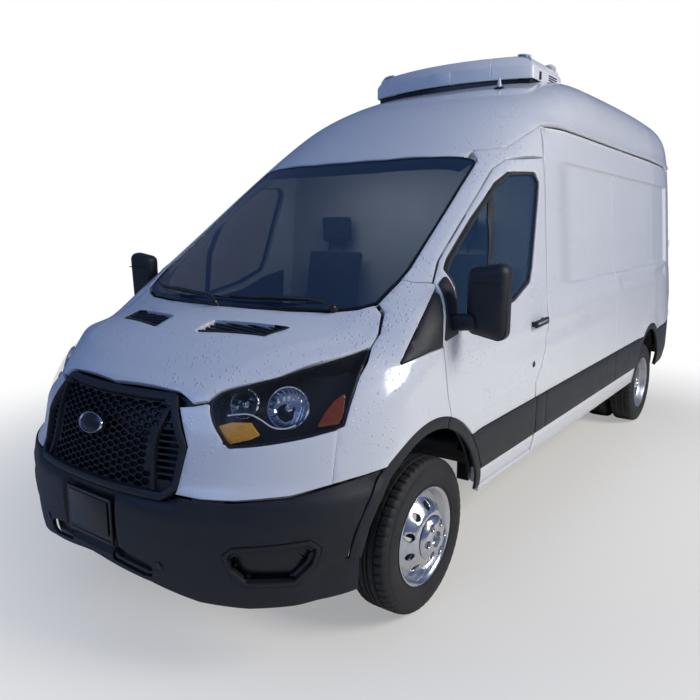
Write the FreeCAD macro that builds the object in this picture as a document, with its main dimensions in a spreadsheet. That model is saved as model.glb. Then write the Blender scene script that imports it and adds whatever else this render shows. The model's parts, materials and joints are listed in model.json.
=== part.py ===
import FreeCAD, Part
import Sketcher
import math
import os

# Refrigerated panel van: high roof, twin rear wheels, cooling unit on the front of the roof.
# Millimetres. X to the vehicle's left, Y to its rear, Z up, origin on the ground at the middle.
# Stations along the vehicle are given from the front axle, because the real one is measured so.

V = FreeCAD.Vector
doc = FreeCAD.newDocument("refrigerated_van")
sheet = doc.addObject("Spreadsheet::Sheet", "sizes")

SIZES = [
    # whole vehicle
    ("wheelbase", 3750, "front axle to rear axle"),
    ("front_overhang", 1023, "front axle to the nose"),
    ("rear_overhang", 1208, "rear axle to the tail"),
    ("half_width", 1030, "middle to the widest point of the side"),
    ("sill_height", 436, "ground to the underside of the sill"),
    ("roof_height", 2740, "ground to the top of the roof"),
    ("gutter_height", 2275, "ground to the roof gutter"),
    ("gap", 5, "shut line between two panels"),
    ("seat_gap", 0.3, "clearance of a seated piece"),
    # walls
    ("wall", 50, "insulated side, roof and door wall"),
    ("skin", 24, "hood and fender with their inner frame"),
    ("glass", 6, "window glass"),
    ("glass_inset", 10, "skin to the outside of the glass"),
    ("moulding", 10, "thickness of the black side moulding"),
    # wheels
    ("tyre_radius", 347, "laden radius of the tyre"),
    ("tyre_width", 195, "width of the tyre"),
    ("rim_radius", 220, "outside of the rim flange"),
    ("rim_width", 165, "over the rim flanges"),
    ("rim_thickness", 9, "rim and disc steel"),
    ("front_wheel_x", 866, "middle of the front tyre"),
    ("rear_outer_x", 892, "middle of the outer rear tyre"),
    ("twin_spacing", 222, "between the middles of the twin tyres"),
    ("hub_radius", 96, "disc hub face"),
    ("hand_holes", 10, "round holes in each disc"),
    ("hand_hole_radius", 17, "one hand hole"),
    ("kingpin_x", 780, "steering axis from the middle"),
    # wheel arches, places from each axle
    ("front_arch_radius", 440, "front wheel opening"),
    ("front_arch_offset", -100, "its centre behind the front axle"),
    ("front_arch_height", 420, "its centre above the ground"),
    ("rear_arch_radius", 405, "rear wheel opening"),
    ("rear_arch_offset", -10, "its centre behind the rear axle"),
    ("rear_arch_height", 425, "its centre above the ground"),
    ("flare", 50, "width of the black arch flare"),
    # mirrors
    ("mirror_reach", 1237, "middle to the outside of the mirror"),
    # cooling unit
    ("unit_width", 1206, "across the cooling unit"),
    ("unit_length", 660, "along the cooling unit"),
    ("unit_front", 1745, "front axle to the unit's nose"),
    ("unit_bow", 130, "how far the unit's ends lie behind its nose"),
    ("unit_base_top", 2632, "ground to the joint of base and housing"),
    ("unit_top", 2790, "ground to the top of the housing"),
    ("fan_radius", 150, "condenser fan"),
    # load space
    ("floor_height", 690, "ground to the load floor"),
    ("floor_thickness", 45, "load floor"),
    ("bulkhead_place", 1290, "front axle to the bulkhead"),
]
for row, (name, number, meaning) in enumerate(SIZES, 1):
    sheet.set("A%d" % row, name)
    sheet.set("B%d" % row, str(number))
    sheet.set("C%d" % row, meaning)
    sheet.setAlias("B%d" % row, name)
doc.recompute()


class Size(float):
    """Number from the sheet that keeps the expression it came from."""

    def __new__(cls, value, text):
        made = float.__new__(cls, value)
        made.text = text
        return made

    def _with(self, value, form, other):
        return Size(value, form % (self.text, getattr(other, "text", repr(float(other)))))

    def __add__(self, other):
        return self._with(float(self) + float(other), "(%s + %s)", other)

    __radd__ = __add__

    def __sub__(self, other):
        return self._with(float(self) - float(other), "(%s - %s)", other)

    def __rsub__(self, other):
        return (-self) + other

    def __mul__(self, other):
        return self._with(float(self) * float(other), "(%s * %s)", other)

    __rmul__ = __mul__

    def __truediv__(self, other):
        return self._with(float(self) / float(other), "(%s / %s)", other)

    def __neg__(self):
        return Size(-float(self), "(-%s)" % self.text)


def size(name):
    return Size(float(sheet.get(name)), "sizes." + name)


LENGTH = size("front_overhang") + size("wheelbase") + size("rear_overhang")
FRONT_AXLE = size("front_overhang") - LENGTH / 2
REAR_AXLE = FRONT_AXLE + size("wheelbase")
TAIL = LENGTH / 2
HALF = size("half_width")
GAP = size("gap")
WALL = size("wall")
SKIN = size("skin")
SEAT = size("seat_gap")
FAR = 4000.0


def station(y):
    """Place along the vehicle of a distance from the front axle."""
    return FRONT_AXLE + y


# Curves that give the form of the body


def through(points, at):
    """Smooth monotone curve through a few points, evaluated at one place."""
    if at <= points[0][0]:
        return points[0][1]
    if at >= points[-1][0]:
        return points[-1][1]
    steps = [b[0] - a[0] for a, b in zip(points, points[1:])]
    slopes = [(b[1] - a[1]) / s for a, b, s in zip(points, points[1:], steps)]
    tangents = [slopes[0]]
    for before, after in zip(slopes, slopes[1:]):
        if before * after <= 0:
            tangents.append(0.0)
        else:
            tangents.append(2 * before * after / (before + after))
    tangents.append(slopes[-1])
    i = max(k for k in range(len(steps)) if points[k][0] <= at)
    t = (at - points[i][0]) / steps[i]
    return (
        (1 + 2 * t) * (1 - t) ** 2 * points[i][1]
        + t * (1 - t) ** 2 * steps[i] * tangents[i]
        + t * t * (3 - 2 * t) * points[i + 1][1]
        + t * t * (t - 1) * steps[i] * tangents[i + 1]
    )


ROOF = size("roof_height")
BACK = size("wheelbase") + size("rear_overhang")
# Height over the middle of the vehicle, from the lip of the hood to the tail
TOP_LINE = [
    (-1060, 990), (-874, 1078), (-700, 1180), (-500, 1268), (-288, 1329), (0, 1542), (340, 1793),
    (680, 2044), (1000, 2262), (1300, 2436), (1600, ROOF - 192), (1745, ROOF - 148),
    (1900, ROOF - 100), (2100, ROOF - 52), (2400, ROOF - 18), (3500, ROOF), (BACK, ROOF - 10), (BACK + 60, ROOF - 10),
]
# How far the sides draw in towards the tail
TAIL_IN = [(3900, 0), (4400, 18), (4700, 52), (BACK, 100), (BACK + 60, 112)]
# How far the top falls from the middle to a point 1000 mm out
CROWN = [(-1060, 90), (-288, 120), (680, 130), (1200, 110), (1900, 50), (BACK, 45)]
# Height where the side starts to turn into the top
SHOULDER = [(-1060, 850), (-288, 1050), (0, 1180), (680, 1560), (1300, 1900), (1900, 2150), (BACK, 2150)]
# Half width of the side, measured in from the widest point
SIDE_IN = [
    (150, 55), (300, 35), (435, 22), (560, 2), (770, 0), (900, 3), (1117, 13), (1354, 35),
    (1700, 63), (2067, 95), (2275, 118), (2450, 138), (2600, 155), (2800, 180),
]
# Front end seen from the side: the nose at each height, measured back from its foremost point
NOSE_LINE = [
    (100, 200), (275, 40), (320, 24), (400, 12), (480, 6), (560, 0), (600, 0), (700, 8), (760, 16),
    (830, 32), (925, 56), (1078, 150), (1140, 224), (1250, 284), (1400, 324), (2900, 424),
]
BOTTOM = 150.0
CORNER_POWER = 4.5
# Roundness of the nose in plan: the bumper is squarer than the panel over it
NOSE_REACH = 830.0
NOSE_POWER = [(100, 2.25), (700, 2.2), (770, 1.95), (2900, 1.95)]
TAIL_REACH = 300.0
TAIL_POWER = 4.0
PLAN_ROOM = 30.0
STATIONS = [-1060 + (BACK + 1120) * k / 23 for k in range(24)]


def section(y, inset):
    """Closed cross-section of the body, set in by a wall thickness."""
    top = through(TOP_LINE, y) - inset
    shoulder = min(through(SHOULDER, y), top - 120)
    crown = through(CROWN, y)
    side_in = inset + through(TAIL_IN, y)
    half = []
    for k in range(5):
        z = BOTTOM + (shoulder - BOTTOM) * k / 5
        half.append((HALF - through(SIDE_IN, z) - side_in, z))
    for k in range(11):
        turn = math.radians(90 * k / 10)
        across = math.cos(turn) ** (2 / CORNER_POWER)
        up = math.sin(turn) ** (2 / CORNER_POWER)
        z = shoulder + (top - shoulder) * up
        x = (HALF - through(SIDE_IN, min(z, ROOF)) - side_in) * across
        half.append((x, z - crown * (x / 1000) ** 2 * up))
    left = [V(x, station(y), z) for x, z in half]
    right = [V(-p.x, p.y, p.z) for p in reversed(left[:-1])]
    curve = Part.BSplineCurve()
    curve.interpolate(left + right)
    return Part.Wire([curve.toShape(), Part.makeLine(right[-1], left[0])])


def plan(z, inset):
    """Closed outline of the body seen from above, at one height."""
    w = HALF + PLAN_ROOM - inset
    nose = station(-size("front_overhang")) + through(NOSE_LINE, z) + inset
    tail = TAIL - inset
    turns = [-1 + 2 * k / 12 for k in range(13)]

    def arc(sign_y, end, reach, power):
        points = []
        for t in turns:
            a = t * math.pi / 2
            x = w * math.copysign(abs(math.sin(a)) ** (2 / power), a)
            y = end + sign_y * reach * (1 - math.cos(a) ** (2 / power))
            points.append(V(x, y, z))
        curve = Part.BSplineCurve()
        curve.interpolate(points)
        return curve.toShape(), points

    front, fp = arc(1, nose, NOSE_REACH, through(NOSE_POWER, z))
    rear, rp = arc(-1, tail, TAIL_REACH, TAIL_POWER)
    return Part.Wire([front, Part.makeLine(fp[-1], rp[-1]), rear, Part.makeLine(rp[0], fp[0])])


PLAN_HEIGHTS = [100 + 175 * k for k in range(17)]


def body_form(inset):
    """Solid form of the whole body, set in by a wall thickness."""
    lengthwise = Part.makeLoft([section(y, inset) for y in STATIONS], True, False)
    upright = Part.makeLoft([plan(z, inset) for z in PLAN_HEIGHTS], True, False)
    return lengthwise.common(upright)


def rounded(points, radius):
    """Closed wire through flat points, each corner rounded; radius is one number or a list."""
    count = len(points)
    radii = radius if isinstance(radius, list) else [radius] * count
    edges = []
    ends = []
    for i, corner in enumerate(points):
        a = (points[i - 1] - corner)
        b = (points[(i + 1) % count] - corner)
        reach = radii[i] / math.tan(a.getAngle(b) / 2) if radii[i] else 0.0
        start = corner + a.normalize() * reach
        end = corner + b.normalize() * reach
        if radii[i]:
            middle = (a + b).normalize()
            half_angle = a.getAngle(b) / 2
            nearest = radii[i] / math.sin(half_angle) - radii[i]
            edges.append(Part.Arc(start, corner + middle * nearest, end).toShape())
        ends.append((start, end, len(edges) - 1 if radii[i] else None))
    ordered = []
    for i in range(count):
        start, end, arc = ends[i]
        if arc is not None:
            ordered.append(edges[arc])
        after = ends[(i + 1) % count][0]
        if end.distanceToPoint(after) > 1e-6:
            ordered.append(Part.makeLine(end, after))
    return Part.Wire(ordered)


def side_prism(points, x0, x1, radius=0.0):
    """Block whose outline is drawn in side view, as (distance from front axle, height)."""
    wire = rounded([V(x0, station(y), z) for y, z in points], radius)
    return Part.Face(wire).extrude(V(x1 - x0, 0, 0))


def front_prism(points, y0, y1, radius=0.0, grow=0.0):
    """Block whose outline is drawn in front view, as (x, height)."""
    wire = rounded([V(x, station(y0), z) for x, z in points], radius)
    if grow:
        wire = wire.makeOffset2D(grow)
    return Part.Face(wire).extrude(V(0, y1 - y0, 0))


def box(x0, x1, y0, y1, z0, z1):
    return Part.makeBox(x1 - x0, y1 - y0, z1 - z0, V(x0, station(y0), z0))


def rod(start, end, radius):
    """Round bar between two points given from the front axle."""
    a = V(start[0], station(start[1]), start[2])
    b = V(end[0], station(end[1]), end[2])
    return Part.makeCylinder(radius, a.distanceToPoint(b), a, b - a)


def mirrored(shape):
    return shape.mirror(V(0, 0, 0), V(1, 0, 0))


def largest(shape):
    """The main solid of a result, without slivers."""
    return max(shape.Solids, key=lambda s: s.Volume)


def solids_over(shape, volume):
    kept = [s for s in shape.Solids if s.Volume > volume]
    return kept[0] if len(kept) == 1 else Part.makeCompound(kept)


PARTS = {}


def sub_part(name, shape):
    """Sub-part with its own label and placement."""
    feature = doc.addObject("Part::Feature", name)
    feature.Label = name
    feature.Shape = shape
    feature.Placement = FreeCAD.Placement(V(0, 0, 0), FreeCAD.Rotation())
    PARTS[name] = feature
    return feature



def between(form_out, form_in):
    """Hollow solid between two forms of the body, one inside the other."""
    cavity = form_in.Shells[0].copy()
    cavity.reverse()
    return Part.Solid(Part.makeCompound([form_out.Shells[0], cavity]))


# Shared solids of the body shell
outer = body_form(0.0)
inner_wall = body_form(WALL)
inner_skin = body_form(SKIN)
shell = between(outer, inner_wall)
nose_shell = between(outer, inner_skin)

# Outlines in side view: distance from the front axle, height
SILL = size("sill_height")
GUTTER = size("gutter_height")
DOOR = [
    (45, SILL + 34), (50, 890), (8, 1222), (100, 1450), (206, 1543), (564, 1801), (818, 1981),
    (920, 2030), (1254, 2063), (1232, 1369), (1215, 1130), (1130, 930), (1045, 860), (1055, 760),
    (1035, SILL + 34),
]
WINDOW = [
    (150, 1240), (185, 1500), (244, 1550), (492, 1727), (762, 1908), (880, 1965), (1116, 1975),
    (1165, 1925), (1023, 1474), (985, 1400), (788, 1324), (500, 1265),
]
SAIL = [(-262, 1160), (-5, 1190), (98, 1446)]
MIRROR_PATCH = [(14, 1205), (144, 1228), (176, 1490), (110, 1448)]
ROOF_EDGE = [(560, 2085), (681, 2046), (800, 2012), (1398, GUTTER), (BACK + 200, GUTTER)]
HOOD_EDGE = [(-1200, 1024), (-853, 1027), (-802, 1047), (-784, 1063), (-752, 1089), (-681, 1115),
             (-586, 1145), (-472, 1186), (-286, 1220), (-263, 1227), (-225, 1290), (-300, 1322)]
LAMP_EDGE = [(-1200, 903), (-830, 903), (-810, 904), (-734, 916), (-634, 939), (-534, 970),
             (-490, 1050), (-423, 1127), (-263, 1222)]
BUMPER_TOP = [(-1200, 725), (-946, 725), (-858, 722), (-730, 735), (-601, 760), (-410, 794), (-350, 800),
              (-300, 800)]
FASCIA_SEAM = -630.0
BUMPER_LOW = 318.0


def arch(axle, name, grow=0.0):
    """Wheel opening through the whole width, seen from the side."""
    centre = V(-FAR, axle + size(name + "_arch_offset"), size(name + "_arch_height"))
    radius = size(name + "_arch_radius") + grow
    hole = Part.makeCylinder(radius, 2 * FAR, centre, V(1, 0, 0))
    below = Part.makeBox(2 * FAR, 2 * radius, centre.z, V(-FAR, centre.y - radius, 0))
    return hole.fuse(below)


FRONT_ARCH = arch(FRONT_AXLE, "front")
REAR_ARCH = arch(REAR_AXLE, "rear")
FRONT_FLARE = arch(FRONT_AXLE, "front", size("flare"))
REAR_FLARE = arch(REAR_AXLE, "rear", size("flare"))


def side_region(points, grow=0.0, radius=0.0, x0=-FAR, x1=FAR):
    """Prism through the body of an outline in side view, grown or shrunk all round."""
    wire = rounded([V(x0, station(y), z) for y, z in points], radius)
    if grow:
        wire = wire.makeOffset2D(grow)
    return Part.Face(wire).extrude(V(x1 - x0, 0, 0))


LOW, HIGH = -100.0, 3200.0
roof_region = side_region(ROOF_EDGE + [(BACK + 200, HIGH), (560, HIGH)])
over_hood = HOOD_EDGE + [(-300, HIGH), (-1200, HIGH)]
hood_region = side_region(over_hood, -GAP / 2)
hood_opening = side_region(over_hood, GAP / 2)
door_region = side_region(DOOR, -GAP / 2, 25.0)
door_opening = side_region(DOOR, GAP / 2, 25.0)
window_region = side_region(WINDOW, 0.0, 20.0)
nose_region = side_region([(-1300, LOW), (45, LOW), (50, 890), (8, 1222), (98, 1446), (-60, 1465),
                           (-225, 1290), (-300, 1322), (-300, HIGH), (-1300, HIGH)])
LEFT = box(0, FAR, -1300, BACK + 300, LOW, HIGH)
above_sill = box(-FAR, FAR, -1300, BACK + 300, SILL, HIGH)

# Windscreen: between the hood and the roof, inside the pillars
SCREEN_FRONT = [(-880, 1240), (880, 1240), (800, 2120), (-800, 2120)]
screen_band = side_region([(-300, 1322), (-60, 1322), (170, 1440), (800, 2012), (681, 2046), (500, 2140),
                           (-500, 1500)])
screen_region = front_prism(SCREEN_FRONT, -700, 1500, 70.0).common(screen_band).cut(door_opening)

# Rear door opening, seen from behind
REAR_DOOR_HALF = 880.0
REAR_DOOR_TOP = 2480.0
REAR_DOOR_LOW = size("floor_height") - 30
rear_wall = box(-FAR, FAR, BACK - WALL - 60, BACK + 200, LOW, HIGH)


def rear_outline(grow):
    half = REAR_DOOR_HALF + grow
    points = [(-half - 75, REAR_DOOR_LOW - grow), (half + 75, REAR_DOOR_LOW - grow), (half + 75, 1100),
              (half - 70, REAR_DOOR_TOP + grow), (-half + 70, REAR_DOOR_TOP + grow), (-half - 75, 1100)]
    return front_prism(points, BACK - WALL - 60, BACK + 200, 40.0)


# Black side moulding, let into the skin, with the arch flares
inner_moulding = body_form(size("moulding"))
moulding_shell = between(outer, inner_moulding)
moulding_band = side_region([(-1300, 562), (-1300, 742), (335, 760), (1047, 770), (3300, 793), (BACK + 100, 812),
                             (BACK + 100, 562)])
front_zone = box(-FAR, FAR, -560, 700, LOW, HIGH)
rear_zone = box(-FAR, FAR, 3000, 4400, LOW, HIGH)
flares = FRONT_FLARE.cut(FRONT_ARCH).common(front_zone)
flares = flares.fuse(REAR_FLARE.cut(REAR_ARCH).common(rear_zone)).common(above_sill)
black_zone = moulding_band.fuse(flares).cut(FRONT_ARCH).cut(REAR_ARCH)
black_zone = black_zone.cut(box(-FAR, FAR, -1300, -560, LOW, HIGH)).cut(rear_wall)
black_skin = moulding_shell.common(black_zone)

# Rear lamps stand in the rear corners, beside the doors
LAMP_X = 890.0
lamp_block = box(LAMP_X, FAR, BACK - 150, BACK + 200, 980, 1340)
lamp_block = lamp_block.fuse(mirrored(lamp_block))
tail_lamps = nose_shell.common(lamp_block).cut(rear_outline(GAP))

# Rear bumper with its corners
bumper_side = side_region([(4260, SILL), (4260, 700), (4420, 812), (BACK + 200, 812), (BACK + 200, SILL)])
bumper_block = bumper_side.cut(box(-780, 780, 3000, BACK + 300, 600, HIGH)).cut(REAR_ARCH)

# Left body side with its pillars; the right one has the opening of the sliding door
side_box = box(0, FAR, -400, BACK + 300, SILL, HIGH).cut([
    roof_region, door_opening, FRONT_ARCH, REAR_ARCH, nose_region, screen_region, rear_outline(GAP),
    side_region(SAIL, SEAT - GAP / 2), lamp_block, bumper_block])
side_left = largest(shell.common(side_box).cut(black_skin))
SLIDE = [(1292, SILL + 34), (1292, 2190), (2560, 2190), (2560, SILL + 34)]
sub_part("side_left", side_left)
sub_part("side_right", largest(mirrored(side_left).cut(side_region(SLIDE, GAP / 2, 45.0))))
sliding_door = mirrored(side_left).common(side_region(SLIDE, -GAP / 2, 45.0))
sub_part("sliding_door", largest(sliding_door))
roof = largest(shell.common(roof_region).cut(screen_region).cut(rear_outline(GAP)))
sub_part("roof", roof)

# Front doors: wall, glass and black trim
patch = moulding_shell.common(side_region(MIRROR_PATCH, 0.0, 8.0, 0, FAR))
door_block = door_region.common(LEFT).cut([window_region, FRONT_ARCH])
door = largest(shell.common(door_block).cut([black_skin, patch]))
glass_outside = body_form(size("glass_inset"))
glass_inside = body_form(size("glass_inset") + size("glass"))
glass_shell = between(glass_outside, glass_inside)
door_glass = largest(glass_shell.common(window_region.common(LEFT)))
door_black = black_skin.common(door_region.common(LEFT))


def mirror_head():
    """Mirror housing on its arm, from the black patch out to its full reach."""
    reach = size("mirror_reach")
    low, high = 1216.0, 1541.0
    near, depth = 1052.0, 100.0
    place = 92.0
    outline = [V(near, station(place), low + 18), V(near + 25, station(place), high),
               V(reach - 8, station(place), high - 8), V(reach, station(place), low + 12)]
    head = Part.Face(rounded(outline, 34.0)).extrude(V(0, depth, 0))
    front_edges = [e for e in head.Edges if abs(e.BoundBox.YMin - station(place)) < 0.1
                   and e.BoundBox.YLength < 0.1]
    head = head.makeFillet(24.0, front_edges)
    arm = rod((985, 95, 1290), (near + 40, place + 45, 1290), 26.0)
    return head.fuse(arm)


mirror = mirror_head().cut(inner_moulding)
handle = rod((1030, 985, 1188), (1030, 1105, 1194), 11.0)
handle = handle.fuse(rod((990, 1005, 1189), (1030, 1005, 1189), 9.0)).fuse(rod((990, 1090, 1193), (1030, 1090, 1193), 9.0))
handle = handle.cut(outer)
door_trim = solids_over(Part.makeCompound([door_black.fuse(patch.fuse(mirror)), handle]), 500.0)
sub_part("door_left", door)
sub_part("door_right", mirrored(door))
sub_part("door_glass_left", door_glass)
sub_part("door_glass_right", mirrored(door_glass))
sub_part("door_trim_left", door_trim)
sub_part("door_trim_right", mirrored(door_trim))
sub_part("side_mouldings", solids_over(black_skin.cut([door_opening, bumper_block]), 2000.0))

# Glass in front, and the black corners at the foot of the pillars
sub_part("windshield", largest(glass_shell.common(screen_region)))
sail = moulding_shell.common(side_region(SAIL, -GAP / 2, 6.0))
sub_part("sail_panels", solids_over(sail, 2000.0))

# Front end
GRILLE = [(-350, 1072), (350, 1072), (462, 900), (450, 740), (400, 700), (-400, 700), (-450, 740), (-462, 900)]
grille_zone = front_prism(GRILLE, -1300, -600, 40.0)
grille_opening = front_prism(GRILLE, -1300, -600, 40.0, GAP)
hood = largest(nose_shell.common(hood_region).cut(grille_opening))
sub_part("hood", hood)
lamp_front = front_prism([(482, 1230), (482, 1062), (530, 978), (587, 908), (630, 870), (1200, 870), (1200, 1230)],
                         -1300, 0)
lamp_side = side_region(HOOD_EDGE[:-2] + list(reversed(LAMP_EDGE)))
lamp_zone = lamp_side.common(lamp_front).cut(hood_opening)
lamp_zone = lamp_zone.fuse(mirrored(lamp_zone))
sub_part("headlights", solids_over(nose_shell.common(lamp_zone), 5000.0))
below_hood = side_region([(-1300, LOW)] + [(-1300, 1024)] + HOOD_EDGE[1:-1] + [(45, 1290), (45, LOW)])
bumper_zone = side_region([(-1300, BUMPER_LOW)] + [(-1300, 725)] + BUMPER_TOP[1:] + [(-300, BUMPER_LOW)])
front_half = box(-FAR, FAR, -1300, FASCIA_SEAM, LOW, HIGH)
fascia_block = below_hood.common(front_half).common(box(-FAR, FAR, -1300, 0, 600, HIGH))
fascia_block = fascia_block.cut([hood_opening, lamp_zone, bumper_zone, grille_zone])
sub_part("front_fascia", solids_over(nose_shell.common(fascia_block), 20000.0))
fender_block = nose_region.common(box(0, FAR, FASCIA_SEAM + GAP, 200, 500, 1480)).cut([
    hood_opening, lamp_zone, bumper_zone, FRONT_ARCH, door_opening, screen_region, side_region(SAIL, SEAT - GAP / 2)])
fender_left = largest(nose_shell.common(fender_block).cut(black_skin))
sub_part("fenders", Part.makeCompound([fender_left, mirrored(fender_left)]))
bumper_front = bumper_zone.common(box(-FAR, FAR, -1300, -380, LOW, HIGH)).cut([FRONT_ARCH, grille_zone])
sub_part("front_bumper", largest(nose_shell.common(bumper_front).cut(black_skin)))
grille_frame = nose_shell.common(front_prism(GRILLE, -1300, -600, 40.0))
slots = [front_prism([(-400, z), (400, z), (400, z + 26), (-400, z + 26)], -1300, -600)
         for z in (745 + 42 * k for k in range(7))]
sub_part("grille", largest(grille_frame.cut(slots)))

# Cowl under the foot of the glass
COWL = [(-285, 1215 + SEAT), (-285, 1290), (-61, 1330), (-61, 1215 + SEAT)]
cowl = body_form(SKIN + GAP).common(side_region(COWL))
sub_part("cowl", largest(cowl.common(box(-860, 860, -400, 0, LOW, HIGH))))

# Floor, sills, rails and wheel boxes in one pressed and welded underbody
RAIL_LOW = 480.0
FLOOR = size("floor_height")
FLOOR_LOW = FLOOR - size("floor_thickness")
inside = body_form(WALL + size("seat_gap"))
load_floor = inside.common(box(-FAR, FAR, 1250, BACK - WALL - 8, FLOOR_LOW, FLOOR))
cab_floor = inside.common(box(-FAR, FAR, -60, 1250, 560, 590))
step_up = inside.common(box(-FAR, FAR, 1220, 1250, 560, FLOOR))
firewall = inside.common(box(-FAR, FAR, -90, -60, 560, 1215))
sill = box(850, 912, 480, 3320, SILL + 4, 640).common(inside)
rail = box(400, 480, -880, 4700, RAIL_LOW, 590)
cross = [box(-400, 400, y, y + 60, 500, 590) for y in (-860, 900, 1700, 2500, 3200, 4600)]
under = load_floor.fuse([cab_floor, step_up, firewall, sill, mirrored(sill), rail, mirrored(rail)] + cross)
joist = [box(-930, 930, y, y + 60, 580, FLOOR_LOW) for y in (1500, 2100, 2700, 3250, 4300, 4700)]
under = under.fuse([j.common(inside) for j in joist])
INNER_TYRE = size("rear_outer_x") - size("twin_spacing") - size("tyre_width") / 2


def wheel_box(axle, name, x_in, x_out, grow, thick):
    """Half round liner over a wheel with its inner side wall."""
    skin_out = arch(axle, name, grow + thick)
    skin_in = arch(axle, name, grow)
    band = Part.makeBox(x_out - x_in, 2000, 2000, V(x_in, axle - 1000, 350))
    plate = Part.makeBox(thick, 2000, 2000, V(x_in - thick, axle - 1000, 425))
    return skin_out.cut(skin_in).common(band).fuse(skin_out.common(plate))


REAR_IN = INNER_TYRE - 40
rear_hole = REAR_ARCH.common(box(REAR_IN, FAR, 3000, 4500, LOW, HIGH))
front_swing = Part.makeCylinder(455, 2 * FAR, V(-FAR, FRONT_AXLE - 20, 380), V(1, 0, 0))
front_hole = front_swing.common(box(480, FAR, -700, 700, LOW, 880))
under = under.cut([rear_hole, mirrored(rear_hole), front_hole, mirrored(front_hole)])
rear_box = wheel_box(REAR_AXLE, "rear", REAR_IN, 1100, 3.0, 6.0).common(inside)
under = under.fuse([rear_box, mirrored(rear_box)])
sub_part("underbody", largest(under))

bulkhead = inside.common(box(-FAR, FAR, size("bulkhead_place"), size("bulkhead_place") + 30, FLOOR + 0.3, HIGH))
sub_part("bulkhead", largest(bulkhead))

# Cab interior
DASH = [(-59.7, 780), (-59.7, 1180), (60, 1262), (300, 1215), (400, 1110), (360, 930), (250, 760)]
dash = side_region(DASH, 0.0, 40.0, -900, 900).common(inside)
ring_outline = rounded([V(176, 0, -14), V(204, 0, -14), V(204, 0, 14), V(176, 0, 14)], 0.0)
wheel_ring = Part.Face(ring_outline).revolve(V(0, 0, 0), V(0, 0, 1), 360)
wheel_ring = wheel_ring.fuse([Part.makeCylinder(50, 30, V(0, 0, -15)), Part.makeBox(370, 34, 14, V(-185, -17, -7)),
                              Part.makeBox(34, 185, 14, V(-17, -185, -7))])
wheel_ring.Placement = FreeCAD.Placement(V(430, station(520), 1130), FreeCAD.Rotation(V(1, 0, 0), 62))
column = rod((430, 500, 1120), (430, 340, 1045), 30.0)
sub_part("dashboard", largest(dash.fuse([wheel_ring, column])))


def seat(x):
    """Driver's or passenger's seat: foot, cushion, back and head rest."""
    foot = box(x - 190, x + 190, 620, 1060, 590.3, 800)
    cushion = side_region([(560, 800), (560, 935), (1080, 905), (1080, 800)], 0.0, 40.0, x - 250, x + 250)
    back = side_region([(1020, 900), (1120, 900), (1240, 1560), (1150, 1570)], 0.0, 35.0, x - 240, x + 240)
    head = side_region([(1165, 1590), (1160, 1780), (1230, 1780), (1245, 1590)], 0.0, 28.0, x - 130, x + 130)
    posts = rod((x - 60, 1196, 1550), (x - 60, 1202, 1600), 8.0).fuse(rod((x + 60, 1196, 1550), (x + 60, 1202, 1600), 8.0))
    return foot.fuse([cushion, back, head, posts])


sub_part("seats", Part.makeCompound([seat(460), seat(-460)]))

# Cooling unit on the roof, its condenser fans and the evaporator inside
UNIT_W = size("unit_width")
UNIT_F = size("unit_front")
UNIT_L = size("unit_length")
UNIT_JOINT = size("unit_base_top")


def unit_plan(z, grow=0.0):
    """Outline of the cooling unit from above, with its bowed nose."""
    half = UNIT_W / 2 + grow
    front = station(UNIT_F) - grow
    back = station(UNIT_F + UNIT_L) + grow
    side_front = front + size("unit_bow")
    nose = Part.Arc(V(-half, side_front, z), V(0, front, z), V(half, side_front, z)).toShape()
    return Part.Wire([nose, Part.makeLine(V(half, side_front, z), V(half, back, z)),
                      Part.makeLine(V(half, back, z), V(-half, back, z)),
                      Part.makeLine(V(-half, back, z), V(-half, side_front, z))])


over_roof = body_form(-size("seat_gap"))
unit_base = Part.Face(unit_plan(2500.0, -18.0)).extrude(V(0, 0, UNIT_JOINT - 2500)).cut(over_roof)
unit_top = Part.makeLoft([unit_plan(UNIT_JOINT), unit_plan(UNIT_JOINT + 90, -8.0),
                          unit_plan(size("unit_top"), -60.0)], True, True)
unit_room = Part.makeLoft([unit_plan(UNIT_JOINT, -14.0), unit_plan(UNIT_JOINT + 90, -22.0),
                           unit_plan(size("unit_top") - 8, -72.0)], True, True)
housing = unit_top.cut(unit_room)
FAN_R = size("fan_radius")
FAN_Y = UNIT_F + UNIT_L * 0.62
FAN_X = 285.0
for sign in (-1, 1):
    hole = Part.makeCylinder(FAN_R + 12, 200, V(sign * FAN_X, station(FAN_Y), size("unit_top") - 100))
    housing = housing.cut(hole)
fan_bar = box(4 - UNIT_W / 2, UNIT_W / 2 - 4, FAN_Y - 16, FAN_Y + 16, 2640, size("unit_top") - 82 - size("seat_gap"))
sub_part("unit_base", largest(unit_base))
sub_part("unit_housing", largest(housing.fuse(fan_bar).cut(over_roof)))


def fan(x):
    """Axial fan rotor with seven pitched blades on a hub and motor."""
    top = size("unit_top") - 40
    hub = Part.makeCylinder(42, 46, V(x, station(FAN_Y), top - 42))
    blades = []
    for k in range(7):
        blade = Part.makeBox(FAN_R - 45, 62, 3.0, V(38, -31, -1.5))
        blade.rotate(V(0, 0, 0), V(1, 0, 0), 28)
        blade.rotate(V(0, 0, 0), V(0, 0, 1), 360 / 7 * k)
        blade.translate(V(x, station(FAN_Y), top - 20))
        blades.append(blade)
    disc = Part.makeCylinder(FAN_R, 60, V(x, station(FAN_Y), top - 50))
    return hub.fuse(blades).common(disc)


sub_part("fan_left", fan(FAN_X))
sub_part("fan_right", fan(-FAN_X))

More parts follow.
